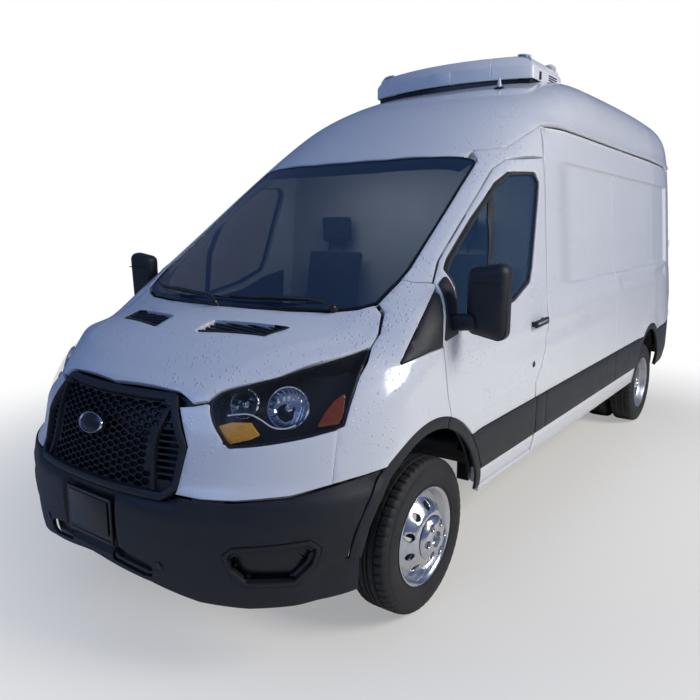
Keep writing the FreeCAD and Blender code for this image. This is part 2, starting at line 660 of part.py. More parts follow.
# Rear doors
rear_panel = shell.common(rear_outline(0.0)).common(rear_wall)
rear_left = largest(rear_panel.common(box(GAP / 2, FAR, BACK - 300, BACK + 200, LOW, HIGH)))
sub_part("rear_door_left", rear_left)
sub_part("rear_door_right", mirrored(rear_left))
sub_part("tail_lamps", solids_over(tail_lamps, 2000.0))
rear_bumper = shell.common(bumper_block).cut(rear_outline(GAP))
sub_part("rear_bumper", largest(rear_bumper))

# Engine, front subframe with arms, rear axle with springs, driveline
TYRE = size("tyre_radius")
OFFSET = size("twin_spacing") / 2
KINGPIN = size("kingpin_x")
SPINDLE_R = 30.0
UPRIGHT_LOW = 296.0
sub_part("engine", box(-270, 270, -640, -120, 430, 1020))
subframe = box(-480, 480, -200, 180, 360, 430 - SEAT)


def front_arms():
    """Left lower and upper arm with their ball joints, spring and the post up to the rail."""
    lower = rod((380, 0, 372), (KINGPIN, 0, 246), 22.0)
    lower_stud = rod((KINGPIN, 0, 240), (KINGPIN, 0, UPRIGHT_LOW - SEAT), 15.0)
    upper = rod((380, 0, 462), (KINGPIN, 0, 466), 13.0)
    upper_stud = rod((KINGPIN, 0, 435 + SEAT), (KINGPIN, 0, 470), 13.0)
    spring = rod((590, 0, 320), (560, 0, 640), 42.0)
    post = box(400, 480, -200, 180, 360, RAIL_LOW - SEAT)
    return [lower, lower_stud, upper, upper_stud, spring, post]


arms = front_arms()
sub_part("front_subframe", largest(subframe.fuse(arms + [mirrored(a) for a in arms])))
axle_end = size("rear_outer_x") - OFFSET - 9
axle_outline = [(0, 150), (95, 150), (150, 48), (730, 48), (730, SPINDLE_R), (axle_end, SPINDLE_R), (axle_end, 0)]
axle_outline = [(-u, v) for u, v in reversed(axle_outline)] + axle_outline[1:]
axle_outline = [V(u, REAR_AXLE, TYRE + v) for u, v in axle_outline]
axle_face = Part.Face(Part.makePolygon(axle_outline + [axle_outline[0]]))
axle_tube = axle_face.revolve(V(0, REAR_AXLE, TYRE), V(1, 0, 0), 360)
spring_low = TYRE + 40
spring = side_region([(3050, RAIL_LOW - 18), (3750, spring_low), (4450, RAIL_LOW - 18), (4450, RAIL_LOW - SEAT),
                      (3750, spring_low + 34), (3050, RAIL_LOW - SEAT)], 0.0, 0.0, 440, 510)
rear_axle = axle_tube.fuse([spring, mirrored(spring)])
sub_part("rear_axle", largest(rear_axle))
shaft = rod((0, -106, 492), (0, 3650, TYRE + 8), 36.0)
shaft = shaft.cut(Part.makeCylinder(150 + SEAT, 400, V(-200, REAR_AXLE, TYRE), V(1, 0, 0)))
tank = box(250, 780, 1550, 2450, 330, RAIL_LOW - SEAT)
sub_part("driveline", largest(shaft))
sub_part("fuel_tank", tank)


def knuckle():
    """Left front knuckle: upright, spindle and steering arm."""
    hub_face = size("front_wheel_x") + OFFSET
    upright = box(KINGPIN - 30, KINGPIN + 34, -48, 48, UPRIGHT_LOW, 435)
    spindle = rod((KINGPIN, 0, TYRE), (hub_face - 9, 0, TYRE), SPINDLE_R)
    steering_arm = rod((KINGPIN - 12, 20, 330), (KINGPIN - 34, 150, 330), 13.0)
    return upright.fuse([spindle, steering_arm])


sub_part("knuckle_left", knuckle())
sub_part("knuckle_right", mirrored(knuckle()))

# Evaporator under the roof of the load space
evaporator = box(-560, 560, size("bulkhead_place") + 30 + SEAT, size("bulkhead_place") + 520, 2150, 2330)
sub_part("evaporator", largest(evaporator))


# Wheels


def plane_of(body, role):
    return next(f for f in body.Origin.OriginFeatures if f.Role == role)


def sketch_in(body, name, role):
    sketch = body.newObject("Sketcher::SketchObject", name)
    sketch.AttachmentSupport = [(plane_of(body, role), "")]
    sketch.MapMode = "FlatFace"
    return sketch


def closed_outline(sketch, points):
    """Closed outline whose corners are held by the sheet's sizes."""
    count = len(points)
    ends = [V(float(u), float(v), 0) for u, v in points]
    for i in range(count):
        sketch.addGeometry(Part.LineSegment(ends[i], ends[(i + 1) % count]))
    for i in range(count):
        sketch.addConstraint(Sketcher.Constraint("Coincident", i, 2, (i + 1) % count, 1))
    for i, corner in enumerate(points):
        for kind, value in zip(("DistanceX", "DistanceY"), corner):
            index = sketch.addConstraint(Sketcher.Constraint(kind, -1, 1, i, 1, float(value)))
            if isinstance(value, Size):
                sketch.setExpression("Constraints[%d]" % index, value.text)


def turned(body, name, points):
    """Revolution about the wheel's axis of an outline given as (along, radius)."""
    sketch = sketch_in(body, name + "_outline", "XY_Plane")
    closed_outline(sketch, points)
    revolution = body.newObject("PartDesign::Revolution", name)
    revolution.Profile = sketch
    revolution.ReferenceAxis = (sketch, ["H_Axis"])
    revolution.Angle = 360.0
    return revolution


RIM = size("rim_radius")
RIM_HALF = size("rim_width") / 2
STEEL = size("rim_thickness")
HUB_R = size("hub_radius")
BORE_R = SPINDLE_R + SEAT
JOIN = 1.0
TYRE_HALF = size("tyre_width") / 2


def new_body(name, place, side):
    body = doc.addObject("PartDesign::Body", name)
    body.Label = name
    turn = FreeCAD.Rotation() if side > 0 else FreeCAD.Rotation(V(0, 0, 1), 180)
    body.Placement = FreeCAD.Placement(place, turn)
    PARTS[name] = body
    return body


def add_rim(body, tag, middle, face):
    """Barrel and disc; the disc stands to the outside (face 1) or inside (face -1)."""
    barrel = [(-RIM_HALF, RIM), (12 - RIM_HALF, RIM - 12), (40 - RIM_HALF, RIM - 16), (56 - RIM_HALF, RIM - 32),
              (RIM_HALF - 56, RIM - 32), (RIM_HALF - 40, RIM - 16), (RIM_HALF - 12, RIM - 12), (RIM_HALF, RIM),
              (RIM_HALF, RIM - STEEL), (RIM_HALF - 12, RIM - 12 - STEEL), (RIM_HALF - 36, RIM - 16 - STEEL),
              (RIM_HALF - 52, RIM - 32 - STEEL), (52 - RIM_HALF, RIM - 32 - STEEL),
              (36 - RIM_HALF, RIM - 16 - STEEL), (12 - RIM_HALF, RIM - 12 - STEEL), (-RIM_HALF, RIM - STEEL)]
    turned(body, tag + "_barrel", [(middle + u, v) for u, v in barrel])
    disc = [(RIM_HALF - 44, RIM - 24), (RIM_HALF - 16, RIM - 54), (OFFSET - 5, HUB_R + 22),
            (OFFSET + JOIN, HUB_R + 8), (OFFSET + JOIN, BORE_R), (OFFSET - STEEL, BORE_R),
            (OFFSET - STEEL, HUB_R + 4), (RIM_HALF - 28, RIM - 58), (RIM_HALF - 54, RIM - 36)]
    turned(body, tag + "_disc", [(middle + face * u, v) for u, v in disc])


def add_hub(body, face, start, end):
    """Hub sleeve on the spindle, and the cap that closes it."""
    turned(body, "sleeve", [(start, BORE_R), (start, 60.0), (OFFSET * face - 3, 60.0), (OFFSET * face - 3, BORE_R)])
    turned(body, "cap", [(OFFSET * face - 4, 0.0), (OFFSET * face - 4, HUB_R - 6), (OFFSET * face + 18, HUB_R - 14),
                         (OFFSET * face + 22, 52.0), (end, 47.0), (end, 0.0)])


def hand_holes(body, tag):
    """Round hand holes through the sloping part of the disc."""
    sketch = sketch_in(body, tag + "_hand_hole", "YZ_Plane")
    sketch.addGeometry(Part.Circle(V(0, float(RIM - 78), 0), V(0, 0, 1), float(size("hand_hole_radius"))))
    sketch.addConstraint(Sketcher.Constraint("PointOnObject", 0, 3, -2))
    ring = sketch.addConstraint(Sketcher.Constraint("DistanceY", -1, 1, 0, 3, float(RIM - 78)))
    sketch.setExpression("Constraints[%d]" % ring, (RIM - 78).text)
    bore = sketch.addConstraint(Sketcher.Constraint("Radius", 0, float(size("hand_hole_radius"))))
    sketch.setExpression("Constraints[%d]" % bore, size("hand_hole_radius").text)
    pocket = body.newObject("PartDesign::Pocket", tag + "_hole")
    pocket.Profile = sketch
    pocket.Type = "ThroughAll"
    pocket.Midplane = True
    pattern = body.newObject("PartDesign::PolarPattern", tag + "_holes")
    pattern.Originals = [pocket]
    pattern.Axis = (sketch, ["N_Axis"])
    pattern.Angle = 360.0
    pattern.Occurrences = int(size("hand_holes"))
    body.Tip = pattern


def add_tyre(body, tag, middle):
    seat = RIM + SEAT * 1.5
    half = [(34 - RIM_HALF, seat - 15), (12 - RIM_HALF, seat - 12), (-RIM_HALF, seat), (12 - TYRE_HALF, RIM + 12),
            (2 - TYRE_HALF, RIM + 38), (-TYRE_HALF, RIM + 62), (5 - TYRE_HALF, TYRE - 32), (18 - TYRE_HALF, TYRE - 9),
            (32 - TYRE_HALF, TYRE - 2), (42 - TYRE_HALF, TYRE)]
    points = half + [(-u, v) for u, v in reversed(half)]
    inside = [(TYRE_HALF - 16, RIM + 60), (TYRE_HALF - 30, TYRE - 20), (30 - TYRE_HALF, TYRE - 20),
              (16 - TYRE_HALF, RIM + 60)]
    return turned(body, tag, [(middle + u, v) for u, v in points + inside])


for name, side in (("left", 1), ("right", -1)):
    place = V(side * size("front_wheel_x"), FRONT_AXLE, TYRE)
    rim = new_body("front_rim_" + name, place, side)
    add_rim(rim, "rim", 0.0, 1)
    add_hub(rim, 1, -46.0, OFFSET + 30)
    hand_holes(rim, "front")
    tyre = new_body("front_tyre_" + name, place, side)
    add_tyre(tyre, "tyre", 0.0)
    place = V(side * size("rear_outer_x"), REAR_AXLE, TYRE)
    rims = new_body("rear_rims_" + name, place, side)
    add_rim(rims, "outer", 0.0, -1)
    add_rim(rims, "inner", -size("twin_spacing"), 1)
    add_hub(rims, -1, -150.0, 66.0)
    hand_holes(rims, "rear")
    tyres = new_body("rear_tyres_" + name, place, side)
    add_tyre(tyres, "outer", 0.0)
    add_tyre(tyres, "inner", -size("twin_spacing"))
doc.recompute()

for item in doc.Objects:
    bad = [word for word in item.State if word in ("Invalid", "Error")]
    if bad:
        raise RuntimeError("%s: %s" % (item.Name, bad))
os.makedirs("parts", exist_ok=True)
for name, feature in PARTS.items():
    shape = feature.Shape
    if shape.isNull() or not shape.isValid():
        raise RuntimeError("bad shape: " + name)
    shape.exportStep("parts/%s.step" % name)
    print(name, len(shape.Solids), round(shape.Volume / 1e6, 2))
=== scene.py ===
import json
import math

import bmesh
import bpy
import numpy as np
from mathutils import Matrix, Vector


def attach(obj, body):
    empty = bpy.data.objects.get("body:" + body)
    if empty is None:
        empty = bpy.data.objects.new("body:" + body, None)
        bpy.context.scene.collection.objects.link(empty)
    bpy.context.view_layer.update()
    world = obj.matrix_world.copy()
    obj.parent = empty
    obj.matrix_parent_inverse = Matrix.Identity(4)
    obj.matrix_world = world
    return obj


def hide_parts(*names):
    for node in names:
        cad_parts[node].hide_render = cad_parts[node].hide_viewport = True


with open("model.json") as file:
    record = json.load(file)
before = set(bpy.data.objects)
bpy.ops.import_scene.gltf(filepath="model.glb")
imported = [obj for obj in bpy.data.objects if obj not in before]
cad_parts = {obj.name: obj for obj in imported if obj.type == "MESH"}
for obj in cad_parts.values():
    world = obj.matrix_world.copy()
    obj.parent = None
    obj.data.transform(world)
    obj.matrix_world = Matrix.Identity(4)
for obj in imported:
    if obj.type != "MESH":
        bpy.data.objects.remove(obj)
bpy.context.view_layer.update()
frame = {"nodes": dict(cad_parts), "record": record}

# Refrigerated panel van, all in metres. X to its left, Y to its rear, Z up.
# Places along the vehicle are given from the front axle.
AXLE = -1.9675
HALF = 1.030
ROOF = 2.740
BACK = 4.958
GAP = 0.005
SILL = 0.436
WHEELBASE = 3.75
HANDS = ((1, "left"), (-1, "right"))
WORD = dict(HANDS)


# The form of the body, the same curves as the part's own


def curve(*points):
    """Smooth monotone curve through points given in millimetres, as a function in metres."""
    knots = np.array(points, float) / 1000
    at, value = knots[:, 0], knots[:, 1]
    step = np.diff(at)
    slope = np.diff(value) / step
    tangent = np.empty(len(at))
    tangent[0], tangent[-1] = slope[0], slope[-1]
    both = slope[:-1] * slope[1:]
    total = slope[:-1] + slope[1:]
    tangent[1:-1] = np.where(both > 0, 2 * both / np.where(np.abs(total) < 1e-9, 1, total), 0)

    def value_at(place):
        p = np.clip(place, at[0], at[-1])
        i = np.clip(np.searchsorted(at, p, side="right") - 1, 0, len(step) - 1)
        t = (p - at[i]) / step[i]
        return ((1 + 2 * t) * (1 - t) ** 2 * value[i] + t * (1 - t) ** 2 * step[i] * tangent[i]
                + t * t * (3 - 2 * t) * value[i + 1] + t * t * (t - 1) * step[i] * tangent[i + 1])

    return value_at


top_line = curve((-1060, 990), (-874, 1078), (-700, 1180), (-500, 1268), (-288, 1329), (0, 1542),
                 (340, 1793), (680, 2044), (1000, 2262), (1300, 2436), (1600, 2548), (1745, 2592),
                 (1900, 2640), (2100, 2688), (2400, 2722), (3500, 2740), (4958, 2730), (5018, 2730))
tail_in = curve((3900, 0), (4400, 18), (4700, 52), (4958, 100), (5018, 112))
crown_fall = curve((-1060, 90), (-288, 120), (680, 130), (1200, 110), (1900, 50), (4958, 45))
shoulder_line = curve((-1060, 850), (-288, 1050), (0, 1180), (680, 1560), (1300, 1900), (1900, 2150),
                      (4958, 2150))
side_in = curve((150, 55), (300, 35), (435, 22), (560, 2), (770, 0), (900, 3), (1117, 13), (1354, 35),
                (1700, 63), (2067, 95), (2275, 118), (2450, 138), (2600, 155), (2800, 180))
nose_line = curve((100, 200), (275, 40), (320, 24), (400, 12), (480, 6), (560, 0), (600, 0), (700, 8),
                  (760, 16), (830, 32), (925, 56), (1078, 150), (1140, 224), (1250, 284), (1400, 324),
                  (2900, 424))
nose_square = curve((100, 2250), (700, 2200), (770, 1950), (2900, 1950))


def gauge(a, b, power, size_a, size_b):
    """How far outside a rounded corner a point lies; a and b are 1 on its two faces."""
    pa, pb = a ** power + 1e-9, b ** power + 1e-9
    total = pa + pb
    return (total ** (1 / power) - 1) * (pa * size_a + pb * size_b) / total


def outside(p):
    """Distance outside the body of each point, roughly, from its lengthwise and its plan form."""
    x, y, z = np.abs(p[:, 0]), p[:, 1] - AXLE, p[:, 2]
    top = top_line(y)
    shoulder = np.minimum(shoulder_line(y), top - 0.12)
    rise = top - shoulder
    up = np.clip((z - shoulder) / rise, 0, 2)
    for _ in range(4):
        level = z + crown_fall(y) * x * x * np.minimum(up, 1)
        up = np.clip((level - shoulder) / rise, 0, 2)
    wide = HALF - side_in(np.minimum(level, ROOF)) - tail_in(y)
    along = gauge(x / wide, up, 4.5, wide, rise)
    plan_half = HALF + 0.03
    nose = np.clip((0.83 - 1.023 + nose_line(z) - y) / 0.83, 0, 3)
    front = gauge(x / plan_half, nose, nose_square(z), plan_half, 0.83)
    tail = np.clip((y - BACK + 0.3) / 0.3, 0, 3)
    rear = gauge(x / plan_half, tail, 4.0, plan_half, 0.3)
    soft = 0.014
    both = np.logaddexp(along / soft, np.maximum(front, rear) / soft) * soft
    return both


def cast(start, direction, depth):
    """Points where straight lines from outside meet the body."""
    low, high = np.zeros(len(start)), np.full(len(start), depth)
    for _ in range(34):
        middle = (low + high) / 2
        out = outside(start + direction * middle[:, None]) > 0
        low = np.where(out, middle, low)
        high = np.where(out, high, middle)
    return start + direction * low[:, None]


def normals_at(p, span=0.002):
    """Outward direction of the body's surface at each point."""
    n = np.empty_like(p)
    for axis in range(3):
        step = np.zeros(3)
        step[axis] = span
        n[:, axis] = outside(p + step) - outside(p - step)
    return n / np.maximum(np.linalg.norm(n, axis=1, keepdims=True), 1e-9)


# Finishes


def node(tree, kind, **values):
    made = tree.nodes.new(kind)
    for key, value in values.items():
        if key in made.inputs:
            made.inputs[key].default_value = value
        else:
            setattr(made, key, value)
    return made


def wire(source, output, target, socket):
    """Link from one node's output to another's input."""
    source.id_data.links.new(source.outputs[output], target.inputs[socket])


def finish(name, colour, roughness, metal=0.0, coat=0.0, vary=0.06, spread=6.0, grain=300.0, depth=0.0003,
           rough_vary=0.06, alpha=1.0, specular=0.5):
    """Finish with slightly uneven colour and gloss and a fine grain."""
    material = bpy.data.materials.new(name)
    material.use_nodes = True
    tree = material.node_tree
    shader = tree.nodes["Principled BSDF"]
    shader.inputs["Metallic"].default_value = metal
    shader.inputs["Coat Weight"].default_value = coat
    shader.inputs["Coat Roughness"].default_value = 0.06
    shader.inputs["Specular IOR Level"].default_value = specular
    place = node(tree, "ShaderNodeTexCoord")
    cloud = node(tree, "ShaderNodeTexNoise", Scale=spread, Detail=5.0, Roughness=0.6)
    wire(place, "Object", cloud, "Vector")
    ramp = node(tree, "ShaderNodeValToRGB")
    ramp.color_ramp.elements[0].position, ramp.color_ramp.elements[1].position = 0.35, 0.65
    ramp.color_ramp.elements[0].color = tuple(c * (1 - vary) for c in colour[:3]) + (1,)
    ramp.color_ramp.elements[1].color = tuple(min(c * (1 + vary), 1) for c in colour[:3]) + (1,)
    wire(cloud, "Fac", ramp, "Fac")
    wire(ramp, "Color", shader, "Base Color")
    gloss = node(tree, "ShaderNodeMapRange")
    gloss.inputs["To Min"].default_value = max(roughness - rough_vary, 0.01)
    gloss.inputs["To Max"].default_value = min(roughness + rough_vary, 1)
    wire(cloud, "Fac", gloss, "Value")
    wire(gloss, "Result", shader, "Roughness")
    fine = node(tree, "ShaderNodeTexNoise", Scale=grain, Detail=3.0)
    wire(place, "Object", fine, "Vector")
    bump = node(tree, "ShaderNodeBump", Strength=1.0, Distance=depth)
    wire(fine, "Fac", bump, "Height")
    wire(bump, "Normal", shader, "Normal")
    shader.inputs["Alpha"].default_value = alpha
    if alpha < 1:
        material.surface_render_method = "BLENDED"
    return material


def wet(material, size, height, share, gloss=0.05):
    """Fine water beads standing on a finish."""
    tree = material.node_tree
    shader = tree.nodes["Principled BSDF"]
    place = next(n for n in tree.nodes if n.type == "TEX_COORD")
    bump = next(n for n in tree.nodes if n.type == "BUMP")
    cells = node(tree, "ShaderNodeTexVoronoi", Scale=1.0 / size, Randomness=1.0)
    wire(place, "Object", cells, "Vector")
    dome = node(tree, "ShaderNodeMapRange", interpolation_type="SMOOTHSTEP")
    for socket, value in (("From Min", 0.10), ("From Max", 0.34), ("To Min", 1.0), ("To Max", 0.0)):
        dome.inputs[socket].default_value = value
    wire(cells, "Distance", dome, "Value")
    pick = node(tree, "ShaderNodeSeparateColor")
    wire(cells, "Color", pick, "Color")
    some = node(tree, "ShaderNodeMath", operation="LESS_THAN")
    some.inputs[1].default_value = share
    wire(pick, "Red", some, 0)
    patches = node(tree, "ShaderNodeTexNoise", Scale=2.4, Detail=4.0)
    wire(place, "Object", patches, "Vector")
    zone = node(tree, "ShaderNodeMapRange")
    zone.inputs["From Min"].default_value, zone.inputs["From Max"].default_value = 0.42, 0.58
    wire(patches, "Fac", zone, "Value")
    both = node(tree, "ShaderNodeMath", operation="MULTIPLY")
    wire(dome, "Result", both, 0)
    wire(some, "Value", both, 1)
    beads = node(tree, "ShaderNodeMath", operation="MULTIPLY")
    wire(both, "Value", beads, 0)
    wire(zone, "Result", beads, 1)
    drop = node(tree, "ShaderNodeBump", Strength=1.0, Distance=height)
    wire(beads, "Value", drop, "Height")
    wire(bump, "Normal", drop, "Normal")
    wire(drop, "Normal", shader, "Normal")
    old = shader.inputs["Roughness"].links[0].from_socket
    slick = node(tree, "ShaderNodeMix", data_type="FLOAT")
    slick.inputs["B"].default_value = gloss
    wire(beads, "Value", slick, "Factor")
    tree.links.new(old, slick.inputs["A"])
    wire(slick, "Result", shader, "Roughness")
    return material


def ribbed(material, scale, depth, way="X"):
    """Fine moulded ribs."""
    tree = material.node_tree
    shader = tree.nodes["Principled BSDF"]
    place = next(n for n in tree.nodes if n.type == "TEX_COORD")
    bump = next(n for n in tree.nodes if n.type == "BUMP")
    ribs = node(tree, "ShaderNodeTexWave", Scale=scale, bands_direction=way)
    wire(place, "Object", ribs, "Vector")
    ridge = node(tree, "ShaderNodeBump", Strength=1.0, Distance=depth)
    wire(ribs, "Fac", ridge, "Height")
    wire(bump, "Normal", ridge, "Normal")
    wire(ridge, "Normal", shader, "Normal")
    return material


def woven(material, pitch, depth):
    """Plain weave of two sets of threads, with painted shade: the colour is slightly darker where the
    threads lie low.
    """
    tree = material.node_tree
    shader = tree.nodes["Principled BSDF"]
    place = next(n for n in tree.nodes if n.type == "TEX_COORD")
    ramp = next(n for n in tree.nodes if n.type == "VALTORGB")
    heights = []
    for way in ("X", "Z", "Y"):
        threads = node(tree, "ShaderNodeTexWave", Scale=1.0 / pitch / 6.3, bands_direction=way)
        wire(place, "Object", threads, "Vector")
        heights.append(threads.outputs["Fac"])
    cross = node(tree, "ShaderNodeMath", operation="MAXIMUM")
    tree.links.new(heights[0], cross.inputs[0])
    tree.links.new(heights[1], cross.inputs[1])
    all_ways = node(tree, "ShaderNodeMath", operation="MULTIPLY_ADD")
    tree.links.new(heights[2], all_ways.inputs[0])
    all_ways.inputs[1].default_value = 0.4
    wire(cross, "Value", all_ways, 2)
    weave = node(tree, "ShaderNodeBump", Strength=1.0, Distance=depth)
    wire(all_ways, "Value", weave, "Height")
    wire(weave, "Normal", shader, "Normal")
    # Painted shade: the colour falls to half where both sets of threads are low, in the gaps of the weave.
    painted_weave_shade = node(tree, "ShaderNodeMix", data_type="RGBA", blend_type="MULTIPLY")
    painted_weave_shade.inputs["Factor"].default_value = 0.5
    wire(ramp, "Color", painted_weave_shade, "A")
    wire(cross, "Value", painted_weave_shade, "B")
    wire(painted_weave_shade, "Result", shader, "Base Color")
    shader.inputs["Sheen Weight"].default_value = 0.4
    shader.inputs["Sheen Roughness"].default_value = 0.4
    return material


van_white = wet(finish("van_white", (0.80, 0.81, 0.83), 0.22, coat=0.7, vary=0.015, spread=1.5, grain=220,
                       depth=0.00005, rough_vary=0.04), 0.018, 0.0028, 0.55)
unit_white = finish("unit_white_plastic", (0.80, 0.81, 0.83), 0.34, coat=0.2, vary=0.02, spread=4,
                    grain=400, depth=0.0001)
grained_black = wet(finish("grained_black", (0.011, 0.013, 0.017), 0.50, vary=0.15, spread=9, grain=900,
                           depth=0.0005, rough_vary=0.10), 0.010, 0.0010, 0.30, 0.20)
smooth_black = finish("smooth_black", (0.012, 0.012, 0.014), 0.28, vary=0.10, grain=500, depth=0.0001)
glass_border = finish("glass_border", (0.008, 0.008, 0.010), 0.12, vary=0.10, grain=200, depth=0.00002)
seal_black = finish("seal_rubber", (0.014, 0.014, 0.015), 0.60, vary=0.12, grain=700, depth=0.0003)
window_glass = finish("window_glass", (0.012, 0.040, 0.085), 0.03, vary=0.05, grain=40, depth=0.00001,
                      rough_vary=0.01, alpha=0.60, specular=0.8)
lamp_lens = finish("lamp_lens", (0.05, 0.055, 0.06), 0.03, vary=0.03, grain=60, depth=0.00002,
                   rough_vary=0.01, alpha=0.10, specular=0.6)
bright_bowl = ribbed(finish("bright_bowl", (0.86, 0.88, 0.92), 0.10, metal=1.0, vary=0.03, grain=80,
                            depth=0.0003), 22, 0.0012)
guide_white = finish("light_guide", (0.92, 0.94, 0.97), 0.18, coat=0.5, vary=0.02, grain=300, depth=0.0001)
amber = ribbed(finish("amber_lens", (1.0, 0.44, 0.04), 0.18, coat=0.6, vary=0.10, spread=40, grain=300,
                      depth=0.0001), 48, 0.0010, "DIAGONAL")
dark_amber = ribbed(finish("dark_amber", (0.26, 0.045, 0.012), 0.20, coat=0.6, vary=0.12, spread=40,
                           grain=300, depth=0.0001), 40, 0.0008, "Z")
lamp_red = ribbed(finish("lamp_red", (0.42, 0.012, 0.010), 0.16, coat=0.7, vary=0.08, spread=30, grain=300,
                         depth=0.0001), 30, 0.0008, "Z")
mirror_silver = finish("mirror_silver", (0.80, 0.84, 0.88), 0.03, metal=1.0, vary=0.01, grain=60,
                       depth=0.00001, rough_vary=0.01)
bright_trim = finish("bright_trim", (0.78, 0.79, 0.81), 0.14, metal=1.0, vary=0.04, grain=300,
                     depth=0.00005)
wheel_bright = finish("wheel_bright", (0.72, 0.73, 0.75), 0.22, metal=1.0, vary=0.06, spread=30, grain=260,
                      depth=0.0002, rough_vary=0.08)
wheel_steel = finish("wheel_steel", (0.46, 0.47, 0.49), 0.38, metal=0.8, vary=0.10, spread=22, grain=300,
                     depth=0.0003, rough_vary=0.10)
tyre_rubber = finish("tyre_rubber", (0.022, 0.022, 0.023), 0.66, vary=0.25, spread=14, grain=420,
                     depth=0.0008, rough_vary=0.12)
dash_soft = finish("dash_grain", (0.022, 0.023, 0.026), 0.60, vary=0.12, spread=12, grain=1100,
                   depth=0.0006)
dash_hard = finish("dash_hard", (0.012, 0.013, 0.015), 0.34, vary=0.10, spread=12, grain=900, depth=0.0002)
seat_cloth = woven(finish("seat_cloth", (0.030, 0.031, 0.035), 0.85, vary=0.12, spread=10, grain=300,
                          depth=0.0002), 0.0045, 0.0008)
chassis_black = finish("chassis_black", (0.020, 0.020, 0.021), 0.50, metal=0.1, vary=0.30, spread=7,
                       grain=160, depth=0.0009, rough_vary=0.15)
rough_cast = finish("rough_cast", (0.17, 0.17, 0.175), 0.58, metal=0.7, vary=0.18, spread=16, grain=240,
                    depth=0.0016, rough_vary=0.12)
fan_black = finish("fan_black", (0.030, 0.031, 0.033), 0.45, vary=0.10, grain=600, depth=0.0003)
liner_grey = finish("load_lining", (0.56, 0.57, 0.58), 0.48, vary=0.04, spread=4, grain=350, depth=0.0005)

slot_finish = {
    "white_paint": van_white, "unit_white": unit_white, "black_plastic": grained_black,
    "dash_plastic": dash_soft, "grey_panel": liner_grey, "glass": window_glass, "lamp": lamp_lens,
    "red_lamp": lamp_red, "fabric": seat_cloth, "dark_steel": chassis_black, "cast": rough_cast,
    "fan_plastic": fan_black, "wheel_silver": wheel_steel, "tyre": tyre_rubber,
}
for part in frame["record"]["subparts"]:
    carried = frame["nodes"][part["node"]]
    for k in range(len(carried.material_slots)):
        carried.material_slots[k].material = slot_finish[part["material_slot"]]
    if not carried.material_slots:
        carried.data.materials.append(slot_finish[part["material_slot"]])

# Slot and finish that go together

WHITE = ("white_paint", van_white)
BLACK = ("black_plastic", grained_black)
SMOOTH = ("black_plastic", smooth_black)
SEAL = ("black_plastic", seal_black)
BORDER = ("black_plastic", glass_border)
GLASS = ("glass", window_glass)
MIRROR = ("glass", mirror_silver)
LENS = ("lamp", lamp_lens)
BOWL = ("lamp", bright_bowl)
GUIDE = ("lamp", guide_white)
AMBER = ("lamp", amber)
DARK_AMBER = ("lamp", dark_amber)
RED = ("red_lamp", lamp_red)
TRIM = ("wheel_silver", bright_trim)
BRIGHT = ("wheel_silver", wheel_bright)
STEEL = ("wheel_silver", wheel_steel)
RUBBER = ("tyre", tyre_rubber)
UNIT = ("unit_white", unit_white)
LATCH = ("black_plastic", chassis_black)
GUARD = ("dark_steel", chassis_black)
DASH = ("dash_plastic", dash_soft)
DASH_HARD = ("dash_plastic", dash_hard)
CLOTH = ("fabric", seat_cloth)
SEAT_FRAME = ("fabric", dash_hard)


# Flat outlines and panels laid onto the body


def dense(points, step=0.02, closed=True):
    """Points along straight runs, close enough for a curved surface."""
    out = []
    ends = points[1:] + points[:1] if closed else points[1:]
    for a, b in zip(points, ends):
        count = max(1, int(math.dist(a, b) / step))
        out += [tuple(p + (q - p) * k / count for p, q in zip(a, b)) for k in range(count)]
    return out if closed else out + [points[-1]]


def eased(points, steps=5):
    """Open run of points with smooth bends through the ones that were traced."""
    p = [Vector(q) for q in points]
    p = [p[0] * 2 - p[1]] + p + [p[-1] * 2 - p[-2]]
    out = []
    for a, b, c, d in zip(p, p[1:], p[2:], p[3:]):
        for k in range(steps):
            t = k / steps
            out.append(tuple(0.5 * (2 * b + (c - a) * t + (2 * a - 5 * b + 4 * c - d) * t ** 2 +
                                    (3 * b - a - 3 * c + d) * t ** 3)))
    return out + [tuple(p[-2])]


def metres(points):
    return [tuple(c / 1000 for c in p) for p in points]


def rounded(points, radius):
    """Outline with each corner rounded; radius is one number or one for each corner."""
    radii = radius if isinstance(radius, list) else [radius] * len(points)
    out = []
    for i, corner in enumerate(points):
        c = Vector(corner)
        before = Vector(points[i - 1]) - c
        after = Vector(points[(i + 1) % len(points)]) - c
        half = before.angle(after) / 2
        if radii[i] <= 0 or half > 1.48 or min(before.length, after.length) < 0.006:
            out.append(tuple(c))
            continue
        reach = min(radii[i] / math.tan(half), before.length * 0.48, after.length * 0.48)
        start, end = c + before.normalized() * reach, c + after.normalized() * reach
        for k in range(7):
            t = k / 6
            out.append(tuple((1 - t) ** 2 * start + 2 * t * (1 - t) * c + t * t * end))
    return out


def moved_in(points, by):
    """Closed outline moved inwards by a distance; negative moves it outwards."""
    p = np.array(points)
    area = np.sum(p[:, 0] * np.roll(p[:, 1], -1) - np.roll(p[:, 0], -1) * p[:, 1])
    edge = np.roll(p, -1, axis=0) - p
    edge /= np.maximum(np.linalg.norm(edge, axis=1, keepdims=True), 1e-9)
    n = np.stack([-edge[:, 1], edge[:, 0]], 1) * np.sign(area)
    before = np.roll(n, 1, axis=0)
    bisector = n + before
    bisector /= np.maximum(np.linalg.norm(bisector, axis=1, keepdims=True), 1e-9)
    stretch = 1 / np.clip(np.sum(bisector * n, axis=1), 0.45, 1)
    return [tuple(q) for q in p + bisector * (by * stretch)[:, None]]


